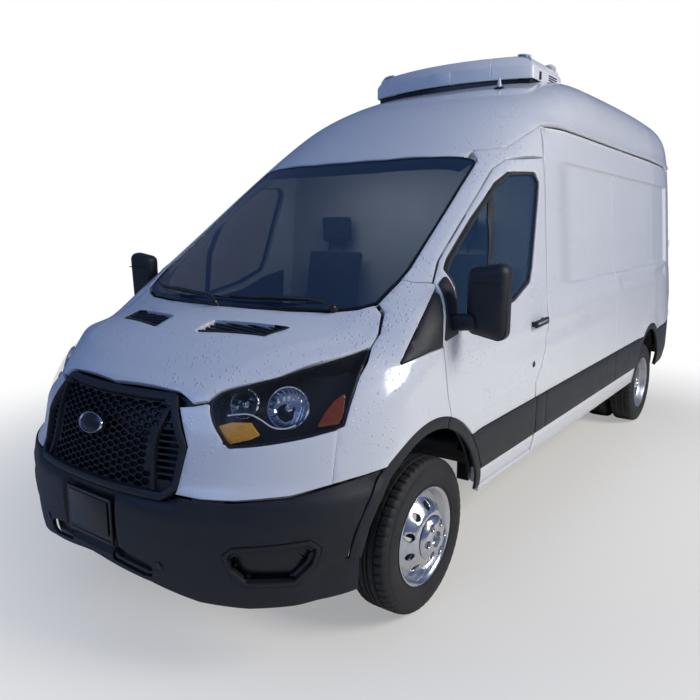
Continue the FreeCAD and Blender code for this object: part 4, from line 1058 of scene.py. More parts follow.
def build_backing():
    """Dark panels behind the bumper, behind the grille and under the front edge of the hood."""
    low = [(-1.36, 0.40), (-0.80, 0.340), (-0.50, 0.358), (-0.40, 0.370), (0.40, 0.370), (0.50, 0.358),
           (0.80, 0.340), (1.36, 0.40), (1.36, 0.66), (0.5, 0.69), (-0.5, 0.69), (-1.36, 0.66)]
    panel("nose_backing_low", [low], round_the_nose, "chassis", SMOOTH, 0.004, 0.05, gap=0.0,
          hem=0.0, proud=-0.062)
    high = [(-0.47, 0.68), (0.47, 0.68), (0.47, 0.92), (0.37, 1.03), (-0.37, 1.03), (-0.47, 0.92)]
    panel("nose_backing_high", [high], from_front, "chassis", SMOOTH, 0.004, 0.05, gap=0.0,
          hem=0.0, proud=-0.090)
    shelf = [(-0.40, -0.856), (-0.25, -0.880), (0.25, -0.880), (0.40, -0.856), (0.52, -0.60),
             (-0.52, -0.60)]
    panel("hood_landing", [shelf], from_above, "chassis", SMOOTH, 0.004, 0.04, gap=0.0,
          hem=0.0, proud=-0.036)


def clipped(cell, outline):
    """Part of a small polygon that lies inside a convex outline given anticlockwise."""
    result = list(cell)
    for a, b in zip(outline, outline[1:] + outline[:1]):
        def inside_of(p):
            return (b[0] - a[0]) * (p[1] - a[1]) - (b[1] - a[1]) * (p[0] - a[0])
        kept = []
        for p, q in zip(result, result[1:] + result[:1]):
            sp, sq = inside_of(p), inside_of(q)
            if sp >= 0:
                kept.append(p)
            if sp * sq < 0:
                t = sp / (sp - sq)
                kept.append((p[0] + (q[0] - p[0]) * t, p[1] + (q[1] - p[1]) * t))
        result = kept
        if len(result) < 3:
            return []
    area = sum(p[0] * q[1] - q[0] * p[1] for p, q in zip(result, result[1:] + result[:1])) / 2
    close = min(math.dist(p, q) for p, q in zip(result, result[1:] + result[:1]))
    return result if area > 6e-5 and close > 0.0015 else []


def wing_line(z):
    """Inner bar of the grille beside its ribbed ends."""
    return float(np.interp(z, [0.70, 0.80, 0.89, 0.94, 1.00, 1.06],
                           [0.358, 0.331, 0.321, 0.328, 0.340, 0.352]))


def build_grille():
    """Grille: thick frame, honeycomb in the middle, ribs at the ends, dark plate behind."""
    outline = rounded(GRILLE, 0.035)
    inner = moved_in(dense(outline, 0.03), 0.032)
    panel("grille_frame", [outline, inner], from_front, "chassis", BLACK, 0.045, 0.03,
          gap=0.002, hem=0.007, proud=0.004, replaced=["grille"])
    edge = moved_in(dense(GRILLE, 0.5), 0.036)
    if sum(p[0] * q[1] - q[0] * p[1] for p, q in zip(edge, edge[1:] + edge[:1])) < 0:
        edge = edge[::-1]
    a, b, wall = 0.0225, 0.0125, 0.0026
    cells = []
    for i in range(-18, 19):
        for j in range(13):
            cx, cz = 1.5 * a * i, 0.715 + b * (2 * j + i % 2) * 1.06
            if abs(cx) + a > wing_line(cz) - 0.006:
                continue
            hexagon = [(cx + (a - wall) * math.cos(math.radians(t)),
                        cz + (b - wall) * 1.1547 * math.sin(math.radians(t))) for t in range(0, 360, 60)]
            cells.append(clipped(hexagon, edge))
    for side in (1, -1):
        for k in range(15):
            z = 0.722 + 0.0235 * k
            x0, x1 = wing_line(z) + 0.012, 0.455
            slot = [(x0, z), (x1, z), (x1, z + 0.014), (x0, z + 0.014)]
            slot = slot if side > 0 else [(-x, h) for x, h in reversed(slot)]
            cells.append(clipped(slot, edge))
    cells = [c for c in cells if c]
    panel("grille_mesh", [moved_in(dense(outline, 0.03), 0.030)] + cells, from_front, "chassis", BLACK,
          0.014, 0.4, gap=0.0, hem=0.0012, proud=-0.016)
    for side, word in HANDS:
        heights = [0.732 + 0.033 * k for k in range(11)]
        bar = [(side * (wing_line(z) - 0.006), z) for z in heights]
        bar += [(side * (wing_line(z) + 0.008), z) for z in reversed(heights)]
        panel("grille_bar_" + word, [bar], from_front, "chassis", BLACK, 0.02, 0.05,
              gap=0.0, hem=0.003, proud=-0.002)
    panel("grille_back", [moved_in(dense(outline, 0.03), 0.024)], from_front, "chassis", SMOOTH, 0.004,
          0.08, gap=0.0, hem=0.0, proud=-0.055)


def shaping(piece):
    """Starts work on a piece's own faces, with none of them selected."""
    by_itself(piece)
    bpy.ops.object.mode_set(mode="EDIT")
    bpy.ops.mesh.select_all(action="DESELECT")


def choose(test, kind="FACE"):
    """Selects the faces, edges or points of the piece in work whose middle passes a test."""
    piece = bpy.context.object
    bpy.ops.object.mode_set(mode="OBJECT")
    mesh = piece.data
    for group in (mesh.polygons, mesh.edges, mesh.vertices):
        group.foreach_set("select", [False] * len(group))
    if kind == "FACE":
        for f in mesh.polygons:
            f.select = bool(test(f.center, f.normal))
    elif kind == "EDGE":
        for e in mesh.edges:
            ends = [mesh.vertices[i].co for i in e.vertices]
            e.select = bool(test((ends[0] + ends[1]) / 2, ends[1] - ends[0]))
    else:
        for v in mesh.vertices:
            v.select = bool(test(v.co, v.normal))
    bpy.ops.object.mode_set(mode="EDIT")
    bpy.ops.mesh.select_mode(type=kind)


def done_shaping():
    bpy.ops.object.mode_set(mode="OBJECT")
    return bpy.context.object


def block(name, size, place, turn=(0, 0, 0), bevel=0.004, segments=3):
    """Block with rolled edges, as a start."""
    bpy.ops.object.select_all(action="DESELECT")
    bpy.ops.mesh.primitive_cube_add(size=1, location=(0, 0, 0))
    piece = bpy.context.object
    piece.name = piece.data.name = name
    piece.scale = size
    bpy.ops.object.transform_apply(location=False, rotation=False, scale=True)
    if bevel:
        bpy.ops.object.mode_set(mode="EDIT")
        bpy.ops.mesh.select_all(action="SELECT")
        bpy.ops.mesh.bevel(offset=bevel, segments=segments, affect="EDGES")
        bpy.ops.object.mode_set(mode="OBJECT")
    piece.rotation_euler = turn
    piece.location = place
    bpy.ops.object.transform_apply(location=True, rotation=True, scale=True)
    return piece


def spun(name, profile, place, axis=(1, 0, 0), steps=48, closed=False):
    """Outline given as (along the axis, radius), spun once round the axis."""
    points = [(u, 0.0, max(r, 0.0)) for u, r in profile]
    edges = [(k, k + 1) for k in range(len(points) - 1)] + ([(len(points) - 1, 0)] if closed else [])
    mesh = bpy.data.meshes.new(name)
    mesh.from_pydata(points, edges, [])
    piece = placed(name, mesh)
    shaping(piece)
    bpy.ops.mesh.select_all(action="SELECT")
    bpy.ops.mesh.spin(steps=steps, angle=2 * math.pi, center=(0, 0, 0), axis=(1, 0, 0))
    bpy.ops.mesh.select_all(action="SELECT")
    bpy.ops.mesh.remove_doubles(threshold=1e-5)
    bpy.ops.mesh.normals_make_consistent(inside=False)
    done_shaping()
    way = Vector(axis).normalized()
    piece.rotation_mode = "QUATERNION"
    piece.rotation_quaternion = Vector((1, 0, 0)).rotation_difference(way)
    piece.location = place
    by_itself(piece)
    bpy.ops.object.transform_apply(location=True, rotation=True, scale=True)
    piece.rotation_mode = "XYZ"
    return piece


def tube(name, points, radius, steps=6, smooth=True):
    """Round bar that follows points in space, with closed ends."""
    line = bpy.data.curves.new(name, "CURVE")
    line.dimensions = "3D"
    line.bevel_depth = radius
    line.bevel_resolution = steps // 2
    line.use_fill_caps = True
    line.resolution_u = 6
    run = line.splines.new("BEZIER" if smooth else "POLY")
    if smooth:
        run.bezier_points.add(len(points) - 1)
        for knot, p in zip(run.bezier_points, points):
            knot.co = p
            knot.handle_left_type = knot.handle_right_type = "AUTO"
    else:
        run.points.add(len(points) - 1)
        for knot, p in zip(run.points, points):
            knot.co = (p[0], p[1], p[2], 1)
    by_itself(placed(name, line))
    bpy.ops.object.convert(target="MESH")
    shaping(bpy.context.object)
    bpy.ops.mesh.select_all(action="SELECT")
    bpy.ops.mesh.remove_doubles(threshold=1e-6)
    bpy.ops.mesh.normals_make_consistent(inside=False)
    return done_shaping()


def as_one(name, pieces):
    """Joins pieces that are fixed to each other."""
    bpy.ops.object.select_all(action="DESELECT")
    for piece in pieces:
        piece.select_set(True)
    bpy.context.view_layer.objects.active = pieces[0]
    bpy.ops.object.join()
    piece = bpy.context.object
    piece.name = piece.data.name = name
    return piece


def copy_of(piece, name, mirror=False):
    """Copy with its own mesh; mirrored copies stand on the other side of the vehicle."""
    other = piece.copy()
    other.data = piece.data.copy()
    other.name = other.data.name = name
    for key in [k for k in other.keys() if k.startswith("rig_")]:
        del other[key]
    other.parent = None
    bpy.context.scene.collection.objects.link(other)
    if mirror:
        by_itself(other)
        other.scale = (-1, 1, 1)
        bpy.ops.object.transform_apply(location=True, rotation=True, scale=True)
        shaping(other)
        bpy.ops.mesh.select_all(action="SELECT")
        bpy.ops.mesh.normals_make_consistent(inside=False)
        done_shaping()
    return other


LAMP_TOP = eased([(492, -782, 1061), (520, -750, 1086), (592, -681, 1112), (690, -586, 1144),
                  (780, -462, 1182), (842, -292, 1219)])
BIG_BOWL, SMALL_BOWL = (742, -658, 1046), (592, -736, 1056)
LIGHT_GUIDE = [(562, -788, 1012), (600, -765, 1018), (631, -746, 1018), (675, -730, 1001), (718, -714, 975),
               (754, -690, 970), (784, -659, 981)]
AMBER_CORNER = [(536, -824, 973), (584, -790, 990), (648, -753, 991), (689, -749, 949), (664, -772, 932),
                (599, -818, 913)]
AMBER_SIDE = [(880, -489, 1083), (898, -519, 1016), (895, -546, 977), (841, -611, 970), (849, -574, 1017),
              (861, -531, 1058)]


def build_headlight(side):
    """Headlight: clear lens, black tray, two bright bowls, light guide and amber corners."""
    word = WORD[side]
    ring = LAMP_TOP + LAMP_OUT[1:] + LAMP_LOW
    space = traced_on(ring, side)
    view, seen = aslant((-0.64 * side, 0.62, -0.45), np.mean(space, axis=0))
    outline = seen(space)
    near = dense(outline, 0.02)
    panel("headlight_lens_" + word, [outline], view, "chassis", LENS, 0.003, 0.022, gap=0.003, hem=0.001,
          proud=-0.001, replaced=["headlights"] if side > 0 else [])
    panel("headlight_wall_" + word, [outline, moved_in(near, 0.007)], view, "chassis", SMOOTH,
          0.078, 0.03, gap=-0.001, hem=0.001, proud=-0.006)
    panel("headlight_tray_" + word, [moved_in(near, 0.005)], view, "chassis", SMOOTH, 0.004,
          0.03, gap=0.0, hem=0.0, proud=-0.078)
    for k, (spot, size) in enumerate(((BIG_BOWL, 0.079), (SMALL_BOWL, 0.056))):
        p = traced_on([spot], side)
        n = Vector(normals_at(np.array(p))[0])
        way = (n * 0.7 + Vector((0.05 * side, -1, 0.1)) * 0.5).normalized()
        centre = Vector(p[0]) - n * 0.034
        bowl = [(-0.052, 0.012), (-0.049, size * 0.42), (-0.040, size * 0.66), (-0.024, size * 0.84),
                (0.0, size * 0.95), (0.002, size), (-0.004, size + 0.003), (-0.026, size * 0.88),
                (-0.044, size * 0.68), (-0.054, size * 0.42), (-0.057, 0.012)]
        piece = spun("headlight_bowl_%s_%d" % (word, k), bowl, centre, way, 48, True)
        finish_piece(piece, "chassis", BOWL)
        bulb = [(-0.056, 0.0), (-0.056, 0.010), (-0.026, 0.011), (-0.020, 0.014), (-0.012, 0.014),
                (-0.008, 0.010), (-0.006, 0.0)]
        finish_piece(spun("headlight_bulb_%s_%d" % (word, k), bulb, centre, way, 24), "chassis", BOWL)
    traced = traced_on(LIGHT_GUIDE, side)
    on_lens = onto(seen(traced), view)
    inward = normals_at(on_lens)
    finish_piece(tube("headlight_guide_" + word, [tuple(p) for p in on_lens - inward * 0.018], 0.0028),
                 "chassis", GUIDE)
    for name, traced, coat, deep in (("corner", AMBER_CORNER, AMBER, -0.020),
                                     ("side", AMBER_SIDE, DARK_AMBER, -0.012)):
        corner = traced_on(traced, side)
        panel("headlight_%s_%s" % (name, word), [rounded(seen(corner), 0.006)], view, "chassis", coat,
              0.006, 0.02, gap=0.0, hem=0.001, proud=deep)


def build_mirror(side):
    """Door mirror: patch on the door, arm, housing with its rim, glass in its back."""
    word = WORD[side]
    body = "door_%s_body" % word
    patch = metres([(22, 1212), (140, 1232), (170, 1480), (112, 1444)])
    panel("mirror_patch_" + word, [rounded(patch, 0.012)], from_side(side), body, BLACK, 0.016,
          0.04, gap=0.0, hem=0.003, proud=0.006)
    head = block("mirror_head_" + word, (0.180, 0.104, 0.318), (1.143, AXLE + 0.146, 1.378), (0, 0, 0),
                 0.042, 7)
    shaping(head)
    choose(lambda c, n: c.y > AXLE + 0.194 and n.y > 0.9)
    bpy.ops.mesh.inset(thickness=0.006, depth=0.0)
    bpy.ops.mesh.extrude_region_move(TRANSFORM_OT_translate={"value": (0, -0.020, 0)})
    bpy.ops.transform.resize(value=(0.95, 1, 0.97), center_override=(1.143, AXLE + 0.18, 1.378))
    choose(lambda c, n: c.x < 1.10, "VERT")
    bpy.ops.transform.resize(value=(1, 0.94, 0.90), center_override=(1.09, AXLE + 0.138, 1.40))
    choose(lambda c, n: c.y < AXLE + 0.12 and c.z < 1.30, "VERT")
    bpy.ops.transform.translate(value=(0, 0.010, 0))
    done_shaping()
    glass = block("mirror_glass_" + word, (0.142, 0.006, 0.262), (1.143, AXLE + 0.176, 1.380), (0, 0, 0),
                  0.0028, 2)
    arm = block("mirror_arm_" + word, (0.130, 0.076, 0.070), (1.040, AXLE + 0.122, 1.288),
                (0, math.radians(-6), 0), 0.020, 4)
    rib = block("mirror_rib_" + word, (0.150, 0.010, 0.006), (1.146, AXLE + 0.096, 1.452), (0, 0, 0),
                0.0025, 2)
    for piece, coat in ((head, BLACK), (glass, MIRROR), (arm, BLACK), (rib, BLACK)):
        if side < 0:
            other = copy_of(piece, piece.name.replace("_right", "_r"), True)
            bpy.data.objects.remove(piece)
            piece = other
        finish_piece(piece, body, coat)


GRIP_Y, GRIP_Z = 1.044, 1.185


def build_handle(side):
    """Door handle with its plate and bright strip, and the lock."""
    word = WORD[side]
    body, view = "door_%s_body" % word, from_side(side)
    plate = [(0.946, 1.142), (1.140, 1.150), (1.140, 1.224), (0.946, 1.216)]
    panel("handle_plate_" + word, [rounded(plate, 0.014)], view, body, BLACK, 0.014, 0.03,
          gap=0.0, hem=0.002, proud=0.003)
    spots = onto([(0.985, 1.184), (1.102, 1.190)], view)
    x = float(np.max(np.abs(spots[:, 0]))) * side
    tilt = math.radians(2.9)
    grip = block("handle_grip_" + word, (0.020, 0.178, 0.038), (x + 0.032 * side, AXLE + GRIP_Y, GRIP_Z),
                 (tilt, 0, 0), 0.008, 3)
    strip = block("handle_strip_" + word, (0.004, 0.146, 0.013),
                  (x + 0.041 * side, AXLE + GRIP_Y, GRIP_Z + 0.006), (tilt, 0, 0), 0.0018, 2)
    feet = [block("handle_foot_%s_%d" % (word, k), (0.038, 0.026, 0.026), (x + 0.015 * side, AXLE + y, z),
                  (tilt, 0, 0), 0.005, 3) for k, (y, z) in enumerate(((0.974, 1.181), (1.114, 1.189)))]
    finish_piece(as_one("handle_grip_" + word, [grip] + feet), body, BLACK)
    finish_piece(strip, body, TRIM)
    spot = onto([(1.004, 0.961)], view)[0]
    lock = [(-0.006, 0.0), (-0.006, 0.017), (0.002, 0.017), (0.005, 0.013), (0.004, 0.006), (0.004, 0.0)]
    finish_piece(spun("door_lock_" + word, lock, Vector(spot), (side, 0, 0), 24), body, BLACK)


def on_screen(points):
    """Points on the windshield's outside, from (x, share of the way up from its foot)."""
    found = []
    foot = np.array(GLASS_FOOT, float)
    for x, up, away in points:
        ax = abs(x) * 1000
        y0 = float(np.interp(ax, foot[:, 0], foot[:, 1])) / 1000 + up
        p = cast(np.array([[x, y0 + AXLE, 3.2]]), np.array([[0.0, 0.0, -1.0]]), 2.6)
        n = normals_at(p)
        found.append(tuple((p + n * away)[0]))
    return found


def build_wipers():
    """Two wipers at rest over the foot of the glass."""
    for k, (x0, x1, pivot) in enumerate(((-0.10, 0.52, 0.60), (-0.68, -0.16, -0.02))):
        spread = [x0 + (x1 - x0) * t / 5 for t in range(6)]
        blade = tube("wiper_blade_%d" % k, on_screen([(x, 0.050, 0.006) for x in spread]), 0.0045)
        spine = tube("wiper_spine_%d" % k, on_screen([(x, 0.050, 0.016) for x in spread[1:-1]]), 0.0055)
        middle = (x0 + x1) / 2
        line = [(pivot, -0.004, 0.020), (pivot - 0.06, 0.020, 0.030), ((pivot + middle) / 2, 0.038, 0.030),
                (middle, 0.050, 0.024)]
        arm = tube("wiper_arm_%d" % k, on_screen(line), 0.0075)
        p = on_screen([(pivot, -0.006, 0.0)])[0]
        cap = spun("wiper_cap_%d" % k, [(-0.02, 0.0), (-0.02, 0.017), (0.020, 0.016), (0.027, 0.011),
                                        (0.029, 0.0)], p, (0, -0.55, 0.83), 24)
        finish_piece(blade, "chassis", SEAL)
        finish_piece(as_one("wiper_%d" % k, [arm, spine, cap]), "chassis", SMOOTH)


def build_badge():
    """Plain oval badge on the grille: bright rim, dark domed face."""
    p = onto([(0.0, 0.925)], from_front)[0]
    n = Vector(normals_at(np.array([p]))[0])
    middle = Vector(p) + n * 0.012
    oval = spun("badge_rim", [(-0.022, 0.060), (-0.022, 0.094), (0.000, 0.100), (0.006, 0.096),
                              (0.006, 0.090), (0.001, 0.086), (0.001, 0.060)], (0, 0, 0), (1, 0, 0), 64,
                              True)
    dome = spun("badge_face", [(-0.010, 0.0), (-0.010, 0.088), (0.002, 0.087), (0.006, 0.070),
                               (0.009, 0.035), (0.010, 0.0)], (0, 0, 0), (1, 0, 0), 64)
    for piece, coat in ((oval, TRIM), (dome, SMOOTH)):
        piece.scale = (1.0, 0.76, 0.42)
        by_itself(piece)
        bpy.ops.object.transform_apply(location=False, rotation=False, scale=True)
        piece.rotation_euler = (0, 0, -math.pi / 2)
        bpy.ops.object.transform_apply(location=False, rotation=True, scale=False)
        piece.rotation_euler = (math.asin(n.z) * -1, 0, 0)
        piece.location = middle
        bpy.ops.object.transform_apply(location=True, rotation=True, scale=True)
        finish_piece(piece, "chassis", coat)


def build_plate():
    """Blank plate in its carrier, in the recess of the bumper, and the cap of the towing eye."""
    p = onto([(0.0, 0.560)], from_front)[0]
    carrier = block("plate_carrier", (0.300, 0.012, 0.190), (0.0, p[1] + 0.014, 0.560), (0, 0, 0), 0.004, 3)
    shaping(carrier)
    choose(lambda c, n: n.y < -0.9 and abs(c.x) < 0.1)
    bpy.ops.mesh.inset(thickness=0.012, depth=0.0)
    bpy.ops.transform.translate(value=(0, 0.003, 0))
    done_shaping()
    plate = block("plate_blank", (0.256, 0.003, 0.144), (0.0, p[1] + 0.0068, 0.570), (0, 0, 0), 0.0012, 2)
    finish_piece(carrier, "chassis", SMOOTH)
    finish_piece(plate, "chassis", BORDER)
    for x in (0.375, -0.375):
        q = onto([(x, 0.440)], from_front)
        n = normals_at(q)[0]
        form = [(-0.010, 0.0), (-0.010, 0.019), (0.002, 0.019), (0.005, 0.016), (0.003, 0.012),
                (0.004, 0.0)]
        cap = spun("tow_cap_left" if x > 0 else "tow_cap_right", form, Vector(q[0]), tuple(n), 32)
        finish_piece(cap, "chassis", SMOOTH)


# Cooling unit

UNIT_NOSE, UNIT_SIDE, UNIT_BACK, UNIT_HALF = 1.745, 1.875, 2.405, 0.603
UNIT_JOINT, UNIT_TOP = 2.632, 2.790
FAN_X, FAN_Y, FAN_HOLE = 0.285, 2.154, 0.162
UNIT_SPLITS = (-0.350, 0.350)


def unit_outline():
    """Outline of the cooling unit from above, with points at its two panel splits."""
    radius = (UNIT_HALF ** 2 + (UNIT_SIDE - UNIT_NOSE) ** 2) / (2 * (UNIT_SIDE - UNIT_NOSE))
    places = set(round(-0.57 + 1.14 * k / 30, 4) for k in range(31))
    for s in UNIT_SPLITS:
        places = {x for x in places if abs(x - s) > 0.008} | {s - 0.004, s - 0.0016, s + 0.0016, s + 0.004}
    nose = [(x, UNIT_NOSE + radius - math.sqrt(radius ** 2 - x * x)) for x in sorted(places)]
    corner = rounded([(0.40, UNIT_NOSE + radius - math.sqrt(radius ** 2 - 0.40 ** 2)),
                      (UNIT_HALF, UNIT_SIDE), (UNIT_HALF, 2.2), (0.40, 2.2)], [0.0, 0.032, 0.0, 0.0])[1:8]
    side = [(UNIT_HALF, y) for y in (1.95, 2.05, 2.15, 2.25, 2.34)]
    back = rounded([(UNIT_HALF, 2.2), (UNIT_HALF, UNIT_BACK), (0.0, UNIT_BACK), (0.0, 2.2)],
                   [0.0, 0.03, 0.0, 0.0])[1:8]
    half = corner + side + back + [(x, UNIT_BACK) for x in (0.45, 0.30, 0.15)]
    return nose + half + [(0.0, UNIT_BACK)] + [(-x, y) for x, y in reversed(half)]


def build_unit():
    """Cooling unit: white housing in three panels on a dark base, louvres, fan guards."""
    outline = unit_outline()
    levels = [(0.004, UNIT_JOINT), (0.0, UNIT_JOINT + 0.004), (0.0, 2.705), (0.004, 2.715), (0.012, 2.726),
              (0.034, 2.752), (0.050, 2.770), (0.066, 2.782), (0.090, 2.788), (0.120, UNIT_TOP)]
    bm = bmesh.new()
    rings = []
    for inward, z in levels:
        ring = moved_in(outline, inward)
        made = []
        for (x, y), (ox, oy) in zip(ring, outline):
            groove = any(abs(ox - s) < 0.0018 for s in UNIT_SPLITS) and oy < 1.9
            made.append(bm.verts.new((x, y + AXLE + (0.004 if groove else 0.0), z)))
        rings.append(made)
    for low, high in zip(rings, rings[1:]):
        for k in range(len(low)):
            bm.faces.new((low[k - 1], low[k], high[k], high[k - 1]))
    edges = [bm.edges.get((rings[-1][k - 1], rings[-1][k])) for k in range(len(rings[-1]))]
    for x in (FAN_X, -FAN_X):
        loops = [[bm.verts.new((p[0], p[1] + AXLE, UNIT_TOP - down)) for p in
                  arc_points((x, FAN_Y), FAN_HOLE - inside, 0, 352.5, 48)]
                 for down, inside in ((0.0, 0.0), (0.004, 0.003), (0.050, 0.003))]
        for a, b in zip(loops, loops[1:]):
            for k in range(len(a)):
                bm.faces.new((a[k - 1], a[k], b[k], b[k - 1]))
        edges += [bm.edges.get((loops[0][k - 1], loops[0][k])) for k in range(len(loops[0]))]
    bmesh.ops.triangle_fill(bm, use_beauty=True, use_dissolve=False, edges=edges)
    bmesh.ops.recalc_face_normals(bm, faces=bm.faces)
    up = [f for f in bm.faces if f.calc_center_median().z > UNIT_TOP - 0.0005]
    if sum(f.normal.z for f in up) < 0:
        bmesh.ops.reverse_faces(bm, faces=bm.faces)
    housing = meshed(bm, "unit_housing_shell")
    by_itself(housing)
    wall = housing.modifiers.new("wall", "SOLIDIFY")
    wall.thickness, wall.offset = 0.008, -1
    bpy.ops.object.modifier_apply(modifier="wall")
    finish_piece(housing, "chassis", UNIT, ["unit_housing"], 32)
    base = moved_in(dense(outline, 0.04), 0.020)
    bm = flat_sheet([base], 0.06)
    uv = np.array([(v.co.x, v.co.y) for v in bm.verts])
    floor = onto(uv, from_above)
    upper, faces = list(bm.verts), list(bm.faces)
    rim = [tuple(e.verts) for e in bm.edges if e.is_boundary]
    below = {}
    for v, p in zip(upper, floor):
        below[v] = bm.verts.new((p[0], p[1], min(p[2] + 0.001, UNIT_JOINT - 0.004)))
        v.co = (v.co.x, v.co.y + AXLE, UNIT_JOINT)
    for f in faces:
        bm.faces.new([below[v] for v in reversed(f.verts)])
    for a, b in rim:
        bm.faces.new((a, b, below[b], below[a]))
    bmesh.ops.recalc_face_normals(bm, faces=bm.faces)
    make_object(bm, "unit_base_tray", "chassis", SMOOTH, ["unit_base"], 32)
    plate = block("unit_blank_plate", (0.150, 0.005, 0.078), (0.0, AXLE + UNIT_NOSE - 0.0005, 2.672),
                  (0, 0, 0), 0.002, 2)
    finish_piece(plate, "chassis", UNIT)
    for side, word in HANDS:
        x, y = side * (UNIT_HALF + 0.001), AXLE + 2.22
        slats = [block("unit_louvre", (0.006, 0.150, 0.007), (x, y, 2.650 + 0.014 * k), (0, 0, 0), 0.002, 2)
                 for k in range(4)]
        finish_piece(as_one("unit_louvres_" + word, slats), "chassis", SMOOTH)
        latch = block("unit_latch_" + word, (0.008, 0.030, 0.050),
                      (side * (UNIT_HALF + 0.002), AXLE + 1.99, 2.664), (0, 0, 0), 0.003, 2)
        finish_piece(latch, "chassis", LATCH)
        rings = []
        for k in range(4):
            bpy.ops.object.select_all(action="DESELECT")
            bpy.ops.mesh.primitive_torus_add(location=(side * FAN_X, FAN_Y + AXLE, UNIT_TOP - 0.001),
                                             major_radius=0.045 + 0.037 * k, minor_radius=0.0026,
                                             major_segments=48, minor_segments=8)
            rings.append(bpy.context.object)
        for k in range(3):
            turn = math.pi * k / 3
            ends = [(side * FAN_X + reach * math.cos(turn), FAN_Y + AXLE + reach * math.sin(turn),
                     UNIT_TOP + 0.003) for reach in (-FAN_HOLE - 0.004, FAN_HOLE + 0.004)]
            rings.append(tube("unit_guard_spoke", ends, 0.003, 6, False))
        finish_piece(as_one("unit_guard_" + word, rings), "chassis", GUARD)


def build_antenna():
    """Short pale antenna on its dark foot, ahead of the unit."""
    p = cast(np.array([[0.47, 1.66 + AXLE, 3.2]]), np.array([[0.0, 0.0, -1.0]]), 2.6)
    place = Vector(p[0])
    n = Vector(normals_at(p)[0])
    foot = spun("antenna_foot", [(-0.004, 0.0), (-0.004, 0.034), (0.004, 0.032), (0.012, 0.020),
                                 (0.014, 0.0)], place, n, 32)
    mast = spun("antenna_mast", [(0.010, 0.0), (0.010, 0.014), (0.030, 0.012), (0.062, 0.006),
                                 (0.068, 0.0)], place, (n + Vector((0, 0, 0.6))).normalized(), 32)
    finish_piece(foot, "chassis", SMOOTH)
    finish_piece(mast, "chassis", UNIT)


# Rear end


TAIL_DEPTH = 0.36


def round_the_tail(uv):
    """View from all round an upright line inside the tail: (angle from straight back, height)."""
    a = uv[:, 0]
    way = np.stack([np.sin(a), np.cos(a), np.zeros(len(a))], 1)
    centre = np.stack([np.zeros(len(a)), np.full(len(a), AXLE + BACK - TAIL_DEPTH), uv[:, 1]], 1)
    return centre + way * 1.5, -way, 1.48


def to_tail(points):
    """Points in space as the view round the tail sees them."""
    return [(math.atan2(x, y - AXLE - BACK + TAIL_DEPTH), z) for x, y, z in points]


def rear_door_relief(x, y, z):
    """Two sunk fields in each rear door."""
    ax = np.abs(x)
    across = rising(ax, 0.115, 0.135) * (1 - rising(ax, 0.72, 0.74))
    high = rising(z, 1.42, 1.44) * (1 - rising(z, 2.30, 2.32))
    low = rising(z, 0.80, 0.82) * (1 - rising(z, 1.28, 1.30))
    return -0.010 * across * (high + low)


